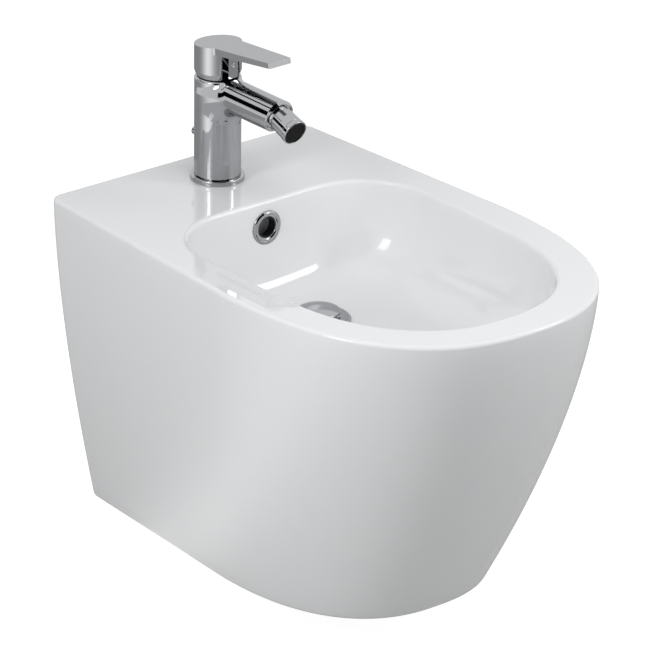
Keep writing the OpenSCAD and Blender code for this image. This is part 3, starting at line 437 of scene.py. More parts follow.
collar_foot = WASTE - Vector((0, 0, COLLAR_H))
seat_back = OVERFLOW - Vector((0, OVERFLOW_SEAT_DEPTH, 0))
outer = DUCT_HALF + DUCT_WALL
added = [
    rod(WASTE_HOLE_R + COLLAR_T, collar_foot, WASTE - Vector((0, 0, BOWL_T / 2)), 96),
    block((-outer, -DUCT_BACK - DUCT_DEEP - 2, DUCT_LOW - DUCT_WALL),
          (outer, -DUCT_BACK + DUCT_WALL, DECK - DECK_T + 1)),
    block((-outer, WASTE.y, DUCT_LOW - DUCT_WALL), (outer, -DUCT_BACK + DUCT_WALL, DUCT_TOP + DUCT_WALL)),
]
cut_out = [
    block((-DUCT_HALF, -DUCT_BACK - DUCT_DEEP, DUCT_LOW), (DUCT_HALF, -DUCT_BACK, OVERFLOW.z + 15)),
    block((-DUCT_HALF, WASTE.y, DUCT_LOW), (DUCT_HALF, -DUCT_BACK, DUCT_TOP)),
    rod(WASTE_HOLE_R, collar_foot - Vector((0, 0, PAST)), WASTE + Vector((0, 0, PAST)), 96),
    rod(TAP_HOLE_R, TAP - Vector((0, 0, DECK_T + PAST)), TAP + Vector((0, 0, PAST)), 96),
    rod(OVERFLOW_R, seat_back, (0, -DUCT_BACK - DUCT_DEEP / 2, OVERFLOW.z)),
    rod(OVERFLOW_SEAT_R, seat_back, OVERFLOW + Vector((0, 0.02, 0)), 96),
    rod(STUD_HOLE_R, (-STUD_X, -WALL_T - PAST, 0), (-STUD_X, PAST, 0)),
    rod(STUD_HOLE_R, (STUD_X, -WALL_T - PAST, 0), (STUD_X, PAST, 0)),
    block((-PIPES_HALF, -WALL_T - PAST, UNDERSIDE - PAST), (PIPES_HALF, PAST, UNDERSIDE + PIPES_H)),
]
for part in added:
    shell = combine(shell, part, "UNION")
for part in cut_out:
    shell = combine(shell, part)
make_piece("ceramic", shell, "glaze", "ceramic_body", crease=40)

# %% [markdown]
# ## The mixer's body
# The body and its spout are one brass casting, ground smooth and plated, and the spout grows out of
# the column with a soft fillet that narrows towards the head, so that the lifted lever clears it. A
# boolean union has no fillet, so the two are described as distance fields, which a smooth minimum
# melts together. A voxel remesh of the union gives an even skin, and each of its points is then slid
# onto the blended field.

# %% Mixer fields
RING_H, TAP_R, TAP_H = 5, 23.75, 111
SPOUT_R, SPOUT_H, SPOUT_L, DIP = 17.25, 95.5, 98, math.radians(20)
HEAD_R, ROOT_REACH, FILLET, TOP_BEVEL = 24, 2, 16, 2
FADE_END, FADE_H, FADE_LEAST = TAP_H + 4, 20, 0.3
END_POINT = Vector((0, -SPOUT_L, SPOUT_H))
END_FACING = Vector((0, -math.cos(DIP), -math.sin(DIP)))


def rounded_corner(a, b, radius):
    """The distance to where both a and b are negative, with its edge rounded."""
    out = np.hypot(np.maximum(a + radius, 0), np.maximum(b + radius, 0))
    return out + np.minimum(np.maximum(a + radius, b + radius), 0) - radius


def mixer_field(p):
    """Signed distance in mm, less than 0 in the metal, for points p from the foot of the tap's axis."""
    x, y, z = p.T
    outside, above = np.hypot(x, y) - TAP_R, z - TAP_H
    bevelled = (outside + above + TOP_BEVEL) / math.sqrt(2)
    column = rounded_corner(np.maximum(outside, above), bevelled, 0.5)
    column = rounded_corner(column, RING_H - z, 0.5)
    ahead = (p - np.array(END_POINT)) @ np.array(END_FACING)
    spout = rounded_corner(np.hypot(x, z - SPOUT_H) - SPOUT_R, ahead, 1.0)
    spout = np.maximum(spout, 2 * y)
    fillet = FILLET * np.clip((FADE_END - z) / FADE_H, FADE_LEAST, 1)
    near = np.maximum(fillet - np.abs(column - spout), 0) / fillet
    melted = np.minimum(column, spout) - near ** 2 * fillet / 4
    seat = np.maximum(np.hypot(x, y) - HEAD_R - ROOT_REACH, TAP_H - z)
    return rounded_corner(melted, -seat, 0.6)


def slide_onto(mesh, field, origin):
    """Moves every point of the mesh along the field's slope until it lies on the field's surface."""
    flat = np.empty(len(mesh.vertices) * 3)
    mesh.vertices.foreach_get("co", flat)
    p = flat.reshape(-1, 3) / MM - np.array(origin)
    step = 0.01
    for _ in range(6):
        slope = np.stack([(field(p + step * axis) - field(p - step * axis)) / (2 * step)
                          for axis in np.eye(3)], axis=1)
        p -= (field(p) / np.maximum((slope ** 2).sum(axis=1), 0.25))[:, None] * slope
    mesh.vertices.foreach_set("co", ((p + np.array(origin)) * MM).ravel())
    mesh.update()
    return np.abs(field(p)).max()


# %% [markdown]
# Two rounds of remeshing and sliding leave the fillet as evenly meshed as the column.

# %% Mixer skin
def remeshed(bm, voxel):
    made = as_object(bm, "skin")
    step = made.modifiers.new("even", "REMESH")
    step.mode, step.voxel_size = "VOXEL", voxel * MM
    evaluated = made.evaluated_get(bpy.context.evaluated_depsgraph_get())
    mesh = bpy.data.meshes.new_from_object(evaluated)
    bpy.data.objects.remove(made)
    return mesh


def at_tap(*point):
    return TAP + Vector(point)


metal = combine(rod(TAP_R, at_tap(0, 0, RING_H), at_tap(0, 0, TAP_H), 96),
                rod(SPOUT_R, at_tap(0, 0, SPOUT_H), at_tap(0, -SPOUT_L, SPOUT_H), 96), "UNION")
for voxel in (1.2, 0.8):
    mesh = remeshed(metal, voxel)
    off = slide_onto(mesh, mixer_field, TAP)
    metal = bmesh.new()
    metal.from_mesh(mesh)
    bpy.data.meshes.remove(mesh)
print("mixer skin", len(metal.faces), "faces, off the field by", round(off, 3), "mm")

# %% [markdown]
# The casting is then bored: the chamber and thread for the cartridge, the round seat for the nozzle's
# ball, the two inlets, the hole for the fixing stud, and the channel and slot of the lift rod.

# %% Mixer bores
BALL_R, BALL_SET, SOCKET_R, MOUTH_R, MOUTH_BEVEL = 13.2, 7, 14.3, 14.7, 0.7
LIFT_Y, LIFT_HOLE_R, SLOT_LOW, SLOT_HIGH = 12, 2.8, 35.5, 67.5
CHAMBER_R, CHAMBER_Z, THREAD_R, THREAD_Z = 17.6, 74, 19, 96
INLET_R, INLET_X, INLET_TOP, SPIGOT_R = 5, 8, 12, 17
M8_HOLE_R, M8_Y, M8_TOP = 4, -10.5, 16
at_nozzle = Matrix.Translation(TAP + END_POINT) @ Matrix.Rotation(math.pi / 2 + DIP, 4, "X")
on_tap = Matrix.Translation(TAP)


def arc(centre, radius, start, end, steps):
    """Points of an arc in a profile, in degrees from the radius axis."""
    angles = [math.radians(start + (end - start) * i / steps) for i in range(steps + 1)]
    return [(centre[0] + radius * math.cos(a), centre[1] + radius * math.sin(a)) for a in angles]


def gather(*parts):
    """Several bmeshes that don't touch, as one."""
    whole_bm = bmesh.new()
    for part in parts:
        mesh = bpy.data.meshes.new("part")
        part.to_mesh(mesh)
        part.free()
        whole_bm.from_mesh(mesh)
        bpy.data.meshes.remove(mesh)
    return whole_bm


socket_profile = [(0, 3), (0, -BALL_SET - SOCKET_R)] + arc((0, -BALL_SET), SOCKET_R, -84, 0, 14) + [
    (MOUTH_R, -BALL_SET), (MOUTH_R, -MOUTH_BEVEL), (MOUTH_R + MOUTH_BEVEL + 3, 3)]
chamber_profile = [(0, TAP_H + 9), (0, CHAMBER_Z), (CHAMBER_R, CHAMBER_Z), (CHAMBER_R, THREAD_Z),
                   (THREAD_R, THREAD_Z), (THREAD_R, TAP_H + 9)]
channel = combine(rod(LIFT_HOLE_R, at_tap(0, LIFT_Y, -PAST), at_tap(0, LIFT_Y, SLOT_HIGH)),
                  block((-LIFT_HOLE_R, LIFT_Y, SLOT_LOW), (LIFT_HOLE_R, 2 * TAP_R, SLOT_HIGH), on_tap),
                  "UNION")
upright_bores = [rod(radius, at_tap(x, y, -PAST), at_tap(x, y, top), 32) for radius, x, y, top in (
    (INLET_R, -INLET_X, 0, INLET_TOP), (INLET_R, INLET_X, 0, INLET_TOP), (M8_HOLE_R, 0, M8_Y, M8_TOP))]
bores = gather(turned(socket_profile, at_nozzle), turned(chamber_profile, on_tap), channel,
               *upright_bores)
metal = combine(metal, rod(SPIGOT_R, TAP, at_tap(0, 0, RING_H + 1), 96), "UNION")
metal = combine(metal, bores)
make_piece("mixer", metal, "chrome", "mixer_body", crease=30)

# %% [markdown]
# ## The lever
# The lever is a hollow round head with a flat blade. Its top is one plane that rises towards the tip,
# and a small fillet leads from the head into each side of the blade.
# A window in the front of the head, behind which a rib takes the screw, has softly rounded upright
# edges. The solids are joined first and their edges broken afterwards, as on the polishing wheel.

# %% Lever
HEAD_LOW, HEAD_BEVEL, HEAD_TOP, CEILING = 112, 5.5, 145.5, 137.5
LIP_R, HOLLOW_R, WINDOW_HALF, WINDOW_ROUND = 22, 21.6, 10.5, 1.2
BLADE_L, BLADE_ROOT, BLADE_TIP, BLADE_T, BLADE_TIP_T = 99, 18.3, 13.8, 7, 5.5
RISE, ROOT_FILLET, TIP_CORNER = math.radians(5.4), 5, 2
RIB_HALF, RIB_FRONT, RIB_LOW = 5.8, 24.6, 114
STEM_HALF, STEM_TOP, SCREW_Z, SCREW_HOLE_R = 3.5, 132, 127.5, 2.8
at_blade = Matrix.Translation(at_tap(0, 0, HEAD_TOP)) @ Matrix.Rotation(-RISE, 4, "X")


def prism(points, low, high, place=Matrix.Identity(4)):
    """A flat outline in mm raised to a prism."""
    bm = bmesh.new()
    face = bm.faces.new([bm.verts.new((x, y, low)) for x, y in points])
    raised = bmesh.ops.extrude_face_region(bm, geom=[face])
    bmesh.ops.translate(bm, vec=(0, 0, high - low),
                        verts=[v for v in raised["geom"] if isinstance(v, bmesh.types.BMVert)])
    bmesh.ops.recalc_face_normals(bm, faces=bm.faces)
    return place_bm(bm, place)


def mirrored(points):
    """Points with x above 0, and then the same points on the other side in turn."""
    return points + [(-x, y) for x, y in reversed(points)]


side_turn = math.atan2(BLADE_ROOT - BLADE_TIP, BLADE_L)
ahead = Vector((-math.sin(side_turn), -math.cos(side_turn)))
outwards = Vector((math.cos(side_turn), -math.sin(side_turn)))
start = Vector((BLADE_ROOT, 0)) + outwards * ROOT_FILLET
along = start.dot(ahead)
run = -along + math.sqrt(along ** 2 - start.length_squared + (HEAD_R + ROOT_FILLET) ** 2)
fillet_centre = start + ahead * run
head_side = 180 + math.degrees(math.atan2(fillet_centre.y, fillet_centre.x))
root_fillet = arc(fillet_centre, ROOT_FILLET, head_side, 180 - math.degrees(side_turn), 6)
tip_corner = arc((BLADE_TIP - TIP_CORNER, TIP_CORNER - BLADE_L), TIP_CORNER, 0, -90, 6)
root_inside = (root_fillet[0][0] * 0.9, root_fillet[0][1] * 0.9)
blade = prism(mirrored([root_inside] + root_fillet + tip_corner), -BLADE_T, 0, at_blade)
thinning = math.atan2(BLADE_T - BLADE_TIP_T, BLADE_L - HEAD_R)
under = at_blade @ Matrix.Translation((0, -HEAD_R, -BLADE_T)) @ Matrix.Rotation(-thinning, 4, "X")
blade = combine(blade, block((-2 * HEAD_R, -2 * BLADE_L, -BLADE_T), (2 * HEAD_R, 0, 0), under))

head_profile = [(0, CEILING), (HOLLOW_R, CEILING), (HOLLOW_R, HEAD_LOW), (LIP_R, HEAD_LOW),
                (HEAD_R, HEAD_LOW + HEAD_BEVEL), (HEAD_R, HEAD_TOP + 6), (0, HEAD_TOP + 6)]
head_solid = turned(head_profile, on_tap, {4: 1.0}, 128)
head_solid = combine(head_solid, block((-60, -60, 0), (60, 60, 30), at_blade))

round_y = -math.sqrt((HEAD_R - WINDOW_ROUND) ** 2 - (WINDOW_HALF + WINDOW_ROUND) ** 2)
round_turn = math.degrees(math.atan2(round_y, WINDOW_HALF + WINDOW_ROUND))
window = [(WINDOW_HALF, 0)] + arc((WINDOW_HALF + WINDOW_ROUND, round_y), WINDOW_ROUND, -180,
                                  round_turn, 7)
reach = window[-1]
window.append((reach[0] * 1.3, reach[1] * 1.3))
head_solid = combine(head_solid, prism(mirrored(window), HEAD_LOW - 1, CEILING, on_tap))

rib = combine(block((-RIB_HALF, -RIB_FRONT, RIB_LOW), (RIB_HALF, -17, CEILING + 1), on_tap),
              block((-RIB_HALF, -RIB_FRONT, RIB_LOW), (RIB_HALF, 7, CEILING + 1), on_tap), "UNION")
socket_half = STEM_HALF + 0.05
rib = combine(rib, block((-socket_half, -socket_half, RIB_LOW - PAST),
                         (socket_half, socket_half, STEM_TOP + 0.2), on_tap))
rib = combine(rib, rod(SCREW_HOLE_R, at_tap(0, -RIB_FRONT - 1, SCREW_Z), at_tap(0, 0, SCREW_Z), 48))
handle_bm = combine(combine(head_solid, blade, "UNION"), rib, "UNION")


def break_edges(bm, width, angle=30, segments=2, where=None):
    """Bevels the edges that turn by more than angle degrees, width in mm, after dissolving the seams
    that a boolean leaves in flat faces. where picks edges by their middle point, in mm."""
    bmesh.ops.remove_doubles(bm, verts=bm.verts, dist=0.02 * MM)
    bmesh.ops.dissolve_limit(bm, angle_limit=math.radians(0.5), verts=bm.verts, edges=bm.edges)
    sharp = [e for e in bm.edges if len(e.link_faces) == 2
             and e.calc_face_angle(0) > math.radians(angle)
             and (where is None or where((e.verts[0].co + e.verts[1].co) / (2 * MM)))]
    bmesh.ops.bevel(bm, geom=sharp, offset=width * MM, segments=segments, profile=0.5,
                    affect="EDGES", clamp_overlap=True, material=-1)
    return len(sharp)


def on_top(point):
    return abs((at_blade.inverted() @ point).z) < 0.01


print("top edges rounded", break_edges(handle_bm, 1.1, segments=4, where=on_top))
print("edges broken", break_edges(handle_bm, 0.35))
handle = make_piece("lever_handle", handle_bm, "chrome", "lever", crease=32)
flat = handle.modifiers.new("flat_faces_stay_flat", "WEIGHTED_NORMAL")
flat.keep_sharp = True

# %% [markdown]
# ## Small turned parts of the tap
# The foot ring hides the edge of the tap hole, and a groove under it holds its rubber gasket. The
# screw cap closes the hole of the set screw in the lever. The knob is a short bar, bored for its rod.

# %% Foot ring, screw cap and knob
KNOB_Z, KNOB_END, ROD_R, ROD_LOW, ROD_END = 39.5, 37.7, 2.5, -141, 33.7
facing_front = Matrix.Rotation(math.pi / 2, 4, "X")
facing_wall = Matrix.Rotation(-math.pi / 2, 4, "X")

foot = turned([(17.1, 0), (20.5, 0), (20.5, 2), (24.5, 2), (24.5, 0), (27.5, 0), (27.5, RING_H),
               (17.1, RING_H)], on_tap, {5: 0.3, 6: 1.1, 7: 0.3})
make_piece("foot_ring", foot, "chrome", "base_ring")

cap_place = Matrix.Translation(at_tap(0, -RIB_FRONT, SCREW_Z)) @ facing_front
cap = turned([(0, -3.9), (2.7, -3.9), (2.7, 0.3), (1.9, 0.3), (1.5, 0.1), (0, 0.1)], cap_place,
             {2: 0.45}, 48)
make_piece("set_screw_cap", cap, "chrome", "screw_cap")

knob_place = Matrix.Translation(at_tap(0, 0, KNOB_Z)) @ facing_wall
knob = turned([(2.55, 26.7), (4.5, 26.7), (4.5, 29.2), (4.1, 29.5), (4.1, 30.1), (4.5, 30.4),
               (4.5, KNOB_END), (0, KNOB_END), (0, 33.8), (2.55, 33.8)], knob_place,
              {1: 0.4, 6: 1.0}, 64)
make_piece("knob", knob, "chrome", "lift_knob")

# %% [markdown]
# ## The lift rod
# The rod is one chromed wire. It stands behind the cartridge, bends over through a right angle in the
# slot at the back of the mixer, and ends in the knob. A disc is extruded, spun through the bend and
# extruded again, so the wire keeps its thickness.

# %% Lift rod
BEND = 6


def push(bm, face, offset):
    """Extrudes a face by an offset in the bmesh's units, and gives the new end face."""
    grown = bmesh.ops.extrude_face_region(bm, geom=[face])["geom"]
    bmesh.ops.translate(bm, vec=offset, verts=[g for g in grown if isinstance(g, bmesh.types.BMVert)])
    bmesh.ops.delete(bm, geom=[face], context="FACES_ONLY")
    return next(g for g in grown if isinstance(g, bmesh.types.BMFace))


wire = bmesh.new()
bmesh.ops.create_circle(wire, cap_ends=True, segments=32, radius=ROD_R)
bmesh.ops.translate(wire, vec=(0, LIFT_Y, ROD_LOW), verts=wire.verts)
end = wire.faces[:][0]
start_loop = wire.edges[:]
end = push(wire, end, (0, 0, KNOB_Z - BEND - ROD_LOW))
spun = bmesh.ops.spin(wire, geom=[end], cent=(0, LIFT_Y + BEND, KNOB_Z - BEND), axis=(1, 0, 0),
                      angle=-math.pi / 2, steps=10, use_duplicate=False)["geom_last"]
bmesh.ops.delete(wire, geom=[end], context="FACES_ONLY")
end = next(g for g in spun if isinstance(g, bmesh.types.BMFace))
push(wire, end, (0, ROD_END - LIFT_Y - BEND, 0))
bmesh.ops.contextual_create(wire, geom=start_loop)
bmesh.ops.recalc_face_normals(wire, faces=wire.faces)
make_piece("lift_wire", place_bm(wire, on_tap), "chrome", "lift_rod")

# %% [markdown]
# ## The nozzle
# The ball of the nozzle sits in a plastic liner behind a threaded ring, and the barrel is screwed on
# its neck. The aerator at the end is a plated ring round a woven screen.

# %% Nozzle
def ball_arc(radius, low, high, steps):
    """The part of the ball's outline between two heights from its centre, as profile points."""
    angles = [math.degrees(math.asin(h / radius)) for h in (low, high)]
    return arc((0, -BALL_SET), radius, angles[0], angles[1], steps)


collar = turned([(14.6, -6.7), (14.6, -1.5)] + ball_arc(BALL_R + 0.05, 0.3, 5.5, 8)[::-1],
                at_nozzle, {1: 0.3})
make_piece("socket_ring", collar, "chrome", "nozzle_retaining_ring")

ball = turned(ball_arc(BALL_R, -12.216, 9.2, 40) + [(8, 2.2), (8, 8), (5, 8)], at_nozzle)
make_piece("ball_joint", ball, "chrome", "nozzle_ball")

barrel = turned([(8.05, 2.2), (11.9, 2.2), (12.7, 3), (13.2, 21.5), (11.2, 21.5), (11.2, 8.1),
                 (8.05, 8.1)], at_nozzle, {1: 0.3, 2: 0.5, 3: 0.35})
make_piece("barrel", barrel, "chrome", "nozzle_barrel")

tip_ring = turned([(9.8, 15.5), (11, 15.5), (11, 21.7), (13.6, 21.7), (13.6, 27), (12.4, 27),
                   (12.4, 24), (9.8, 24)], at_nozzle, {3: 0.35, 4: 0.7, 5: 0.25})
make_piece("aerator_rim", tip_ring, "chrome", "aerator_ring")

# %% [markdown]
# The screen is woven from wire finer than this picture can show, so it is drawn with a mesh of 1.2 mm.

# %% Aerator screen
SCREEN_R, MESH_R, MESH_Z = 12.3, 11.7, 25.6
MESH_GAP, MESH_WIRE, MESH_COUNT = 1.2, 0.28, 9
screen = turned([(0, 16.5), (9.6, 16.5), (9.6, 24), (SCREEN_R, 24), (SCREEN_R, 26.2), (11.5, 26.2),
                 (11.5, 25), (0, 25)], at_nozzle, {4: 0.25})
wires = []
for i in range(-MESH_COUNT, MESH_COUNT + 1):
    offset = i * MESH_GAP
    half = math.sqrt(MESH_R ** 2 - offset ** 2)
    for across in (False, True):
        ends = [(offset, end, MESH_Z + MESH_WIRE * across) for end in (-half, half)]
        if across:
            ends = [(y, x, z) for x, y, z in ends]
        wires.append(rod(MESH_WIRE, at_nozzle @ Vector(ends[0]), at_nozzle @ Vector(ends[1]), 6))
make_piece("screen", gather(screen, *wires), "black_plastic", "aerator_screen")

# %% [markdown]
# ## The bowl's metal
# The overflow's ring is pressed into its hole and holds a black plastic sleeve. The plug is a domed
# cap that stands clear of the waste on its stem.

# %% Overflow ring and plug
overflow_place = Matrix.Translation(OVERFLOW) @ facing_front
trim = turned([(10.8, -8), (12.9, -8), (12.9, 0), (17.5, 0), (17.5, 1.2), (15.7, 3), (12.8, 3),
               (10.8, 1.5)], overflow_place, {4: 0.6, 5: 0.9, 6: 0.9, 7: 0.9})
make_piece("overflow_trim", trim, "chrome", "overflow_ring")
sleeve = turned([(9.6, -8), (10.75, -8), (10.75, 1), (9.9, 1)], overflow_place, {2: 0.2, 3: 0.4})
make_piece("overflow_sleeve", sleeve, "black_plastic", "overflow_ring")

PLUG_LOW, PLUG_R, PLUG_EDGE, DOME_HALF, DOME_RISE = 8.365, 21.5, 2.5, 20.5, 3
dome_r = (DOME_HALF ** 2 + DOME_RISE ** 2) / (2 * DOME_RISE)
dome_edge = math.degrees(math.acos(DOME_HALF / dome_r))
dome = arc((0, 2 * DOME_RISE - dome_r), dome_r, dome_edge, 90, 16)
plug_place = Matrix.Translation(WASTE + Vector((0, 0, PLUG_LOW)))
plug = turned([(0, 0), (PLUG_R, 0), (PLUG_R, PLUG_EDGE)] + dome, plug_place, {1: 0.3, 2: 0.5})
make_piece("plug", plug, "chrome", "plug_cap")

# %% [markdown]
# ## Threads
# The wall studs, the fixing stud and the tube of the waste are threaded. Each is turned with six rings
# to a turn of its thread, and the rings' points are then sunk along a helix: deepest half way between
# two crests, and fading out over the first and the last turn.

# %% Thread cutter
def thread_profile(radius, low, high, pitch):
    """The profile points of a wall that a thread is to be cut into, six to a turn."""
    count = round((high - low) / pitch * 6)
    return [(radius, low + (high - low) * i / count) for i in range(count + 1)]


def cut_thread(bm, place, radius, low, high, pitch, depth):
    """Cuts a right-hand thread into the round wall at that radius, between two heights in mm."""
    there = Matrix.Scale(MM, 4) @ place
    back_again = there.inverted()
    for vert in bm.verts:
        x, y, z = back_again @ vert.co
        here = math.hypot(x, y)
        if abs(here - radius) < 0.01 and low - 0.01 <= z <= high + 0.01:
            phase = (z / pitch - math.atan2(y, x) / math.tau) % 1
            fade = min(1, (z - low) / pitch, (high - z) / pitch)
            shrink = 1 - depth * fade * (1 - abs(2 * phase - 1)) / here
            vert.co = there @ Vector((x * shrink, y * shrink, z))


def hex_nut(place, across, bore, low, high):
    """A hexagon nut along local Z, its corners turned off at 30 degrees and its bore countersunk."""
    corner = across / math.sqrt(3)
    slope = (corner - across / 2) * math.tan(math.radians(30))
    blank = turned([(0, low), (across / 2, low), (corner, low + slope), (corner, high - slope),
                    (across / 2, high), (0, high)], place)
    sixths = [math.tau * i / 6 for i in range(6)]
    outline = [(corner * math.cos(a), corner * math.sin(a)) for a in sixths]
    nut = combine(blank, prism(outline, low - PAST, high + PAST, place), "INTERSECT")
    sink = 0.6
    drill = turned([(0, low - sink), (bore + 2 * sink, low - sink), (bore, low + sink),
                    (bore, high - sink), (bore + 2 * sink, high + sink), (0, high + sink)], place)
    return combine(nut, drill)

# %% [markdown]
# ## The waste under the bowl
# The flange and its tube are one turned brass piece. Two slots cross the tube where the overflow's
# duct meets it. A thin hexagon nut pulls the tube down on its seal, and a ribbed nut that is turned by
# hand closes the ball port of the lift linkage.

# %% Waste flange, lock nut and port nut
at_waste = Matrix.Translation(WASTE)
TUBE_THREAD = {"radius": 21, "low": -65, "high": -5, "pitch": 2.3}
flange = turned([(18, -66), (20, -66)] + thread_profile(**TUBE_THREAD) + [
    (21, 1), (32.5, 1), (32.5, 2), (30.5, 4), (22.5, 4), (18, -1)], at_waste,
    {-5: 0.3, -4: 0.7, -3: 0.5, -2: 0.5, -1: 2.0})
cut_thread(flange, at_waste, **TUBE_THREAD, depth=0.9)
for slot_turn in (0, math.pi / 2):
    slot_place = at_waste @ Matrix.Rotation(slot_turn, 4, "Z")
    flange = combine(flange, block((-7, -22, -28), (7, 22, -16), slot_place))
make_piece("flange_and_tube", flange, "chrome", "waste_flange")
make_piece("lock_nut", hex_nut(at_waste, 55, 21.1, -56, -48), "brass", "waste_lock_nut")

PORT, RIB_COUNT, RIBBED_FROM, RIB_DEPTH = Vector((0, 32, -77)), 24, 12.5, 0.035
port_place = Matrix.Translation(WASTE + PORT) @ facing_wall
port_nut = turned([(11.1, -6.7), (14, -6.7), (14, 11), (4.3, 11), (4.3, 8.5), (7.7, 8.5), (7.7, 1),
                   (11.1, 1)], port_place, {1: 0.5, 2: 1.2})
port_inverse = (Matrix.Scale(MM, 4) @ port_place).inverted()
for vert in port_nut.verts:
    x, y, z = port_inverse @ vert.co
    if math.hypot(x, y) > RIBBED_FROM:
        kept = 1 - RIB_DEPTH * (1 - math.cos(RIB_COUNT * math.atan2(y, x)))
        vert.co = port_inverse.inverted() @ Vector((x * kept, y * kept, z))
make_piece("ribbed_nut", port_nut, "chrome", "ball_nut")

# %% [markdown]
# ## Studs and nuts
# Two M12 studs hold the body to the wall, each with a broad washer and a nut inside the body. The mixer
# is pulled down by one M8 stud and a long brass nut, which a box spanner reaches from below.

# %% Wall studs and fixing stud
M12_PITCH, M12_DEPTH, NUT_R, WALL_R = 1.75, 0.9, 5.8, 6
studs, washers, nuts = [], [], []
for side in (-1, 1):
    stud_place = Matrix.Translation((side * STUD_X, 0, 0)) @ facing_wall
    stud = turned([(0, -44), (4.9, -44)] + thread_profile(NUT_R, -43, -1, M12_PITCH) + [(NUT_R, 0)]
                  + thread_profile(WALL_R, 0, 39, M12_PITCH) + [(5.1, 40), (0, 40)], stud_place,
                  steps=32)
    cut_thread(stud, stud_place, NUT_R, -43, -1, M12_PITCH, M12_DEPTH)
    cut_thread(stud, stud_place, WALL_R, 1, 39, M12_PITCH, M12_DEPTH)
    studs.append(stud)
    washers.append(turned([(5.9, -15.5), (14, -15.5), (14, -13), (5.9, -13)], stud_place,
                          {1: 0.4, 2: 0.3}))
    nuts.append(hex_nut(stud_place, 18.6, 5.9, -25.5, -15.5))
make_piece("studs_in_the_wall", gather(*studs), "steel", "wall_studs", crease=50)
make_piece("broad_washers", gather(*washers), "steel", "stud_washers")
make_piece("wall_nuts", gather(*nuts), "steel", "stud_nuts")

m8_place = Matrix.Translation(at_tap(0, M8_Y, 0))
M8_THREAD = {"radius": 3.95, "low": -61, "high": 13, "pitch": 1.25}
m8 = turned([(0, -62), (3.2, -62)] + thread_profile(**M8_THREAD) + [(3.2, 14), (0, 14)], m8_place,
            steps=24)
cut_thread(m8, m8_place, **M8_THREAD, depth=0.65)
make_piece("stud_under_the_deck", m8, "steel", "fixing_stud", crease=50)
make_piece("long_nut", hex_nut(m8_place, 11.5, 4.1, -36.5, -20.5), "brass", "fixing_nut")

# %% [markdown]
# ## The room
# A product studio is a white sweep with soft lamps. The floor is a plain pale sheet well below the
# body, because the body hangs on a wall that the photograph leaves out. A camera ray finds the floor
# and the world white, and so does a mirrored or refracted one, while the object is lit by the plain
# grey of the world and by the lamps.

# %% Floor and world
FLOOR_Z, FLOOR_GLOW = -325, 0.9
scene = bpy.context.scene
scene.view_settings.view_transform = "Standard"


def seen_directly(tree):
    """1 for a ray from the camera, from a mirror or through glass, otherwise 0."""
    path = add_node(tree, "ShaderNodeLightPath")
    either = add_node(tree, "ShaderNodeMath", operation="MAXIMUM")
    tree.links.new(path.outputs["Is Camera Ray"], either.inputs[0])
    tree.links.new(path.outputs["Is Glossy Ray"], either.inputs[1])
    any_of = add_node(tree, "ShaderNodeMath", operation="MAXIMUM")
    tree.links.new(either.outputs[0], any_of.inputs[0])
    tree.links.new(path.outputs["Is Transmission Ray"], any_of.inputs[1])
    return any_of


world = bpy.data.worlds.new("studio")
world.use_nodes = True
scene.world = world
sky = world.node_tree
sky.nodes.clear()
grey = add_node(sky, "ShaderNodeBackground", {"Color": linear("#FFFFFF"), "Strength": 0.36})
white = add_node(sky, "ShaderNodeBackground", {"Color": linear("#FFFFFF"), "Strength": 1.0})
choice = add_node(sky, "ShaderNodeMixShader")
sky.links.new(seen_directly(sky).outputs[0], choice.inputs[0])
sky.links.new(grey.outputs[0], choice.inputs[1])
sky.links.new(white.outputs[0], choice.inputs[2])
sky.links.new(choice.outputs[0], add_node(sky, "ShaderNodeOutputWorld").inputs["Surface"])

paper, paper_out = new_material("matt_white_paper")
sheet = paper.node_tree
matt = add_node(sheet, "ShaderNodeBsdfDiffuse", {"Color": linear("#B4B4B3")})
lift = add_node(sheet, "ShaderNodeMath", operation="MULTIPLY")
sheet.links.new(seen_directly(sheet).outputs[0], lift.inputs[0])
lift.inputs[1].default_value = FLOOR_GLOW
glow = add_node(sheet, "ShaderNodeEmission", {"Color": linear("#FFFFFF"), "Strength": (lift, "Value")})
both = add_node(sheet, "ShaderNodeAddShader")
sheet.links.new(matt.outputs[0], both.inputs[0])
sheet.links.new(glow.outputs[0], both.inputs[1])
sheet.links.new(both.outputs[0], paper_out.inputs["Surface"])

floor_bm = bmesh.new()
bmesh.ops.create_grid(floor_bm, x_segments=1, y_segments=1, size=4000)
floor = as_object(place_bm(floor_bm, Matrix.Translation((0, 0, FLOOR_Z))), "floor")
floor.data.materials.append(paper)

# %% [markdown]
# ## The lamps
# A tall soft box on the left and a smaller one on the right in front light the sides. Those overhead
# and in front fill in. All four are screened from mirrored rays, and a bright strip above each side
# box gives chrome and glaze their highlights.

# %% Lamps
def lamp(name, position, target, size, power, mirrored=True):
    """A soft box of that size in mm, turned to its target, and seen in mirrored rays or not."""
    data = bpy.data.lights.new(name, "AREA")
    data.shape, data.size, data.size_y = "RECTANGLE", size[0] * MM, size[1] * MM
    data.energy = power
    made = bpy.data.objects.new(name, data)
    scene.collection.objects.link(made)
    aim = (Vector(target) - Vector(position)).to_track_quat("-Z", "Y").to_matrix().to_4x4()
    made.matrix_world = Matrix.Translation(Vector(position) * MM) @ aim
    made.visible_glossy = mirrored


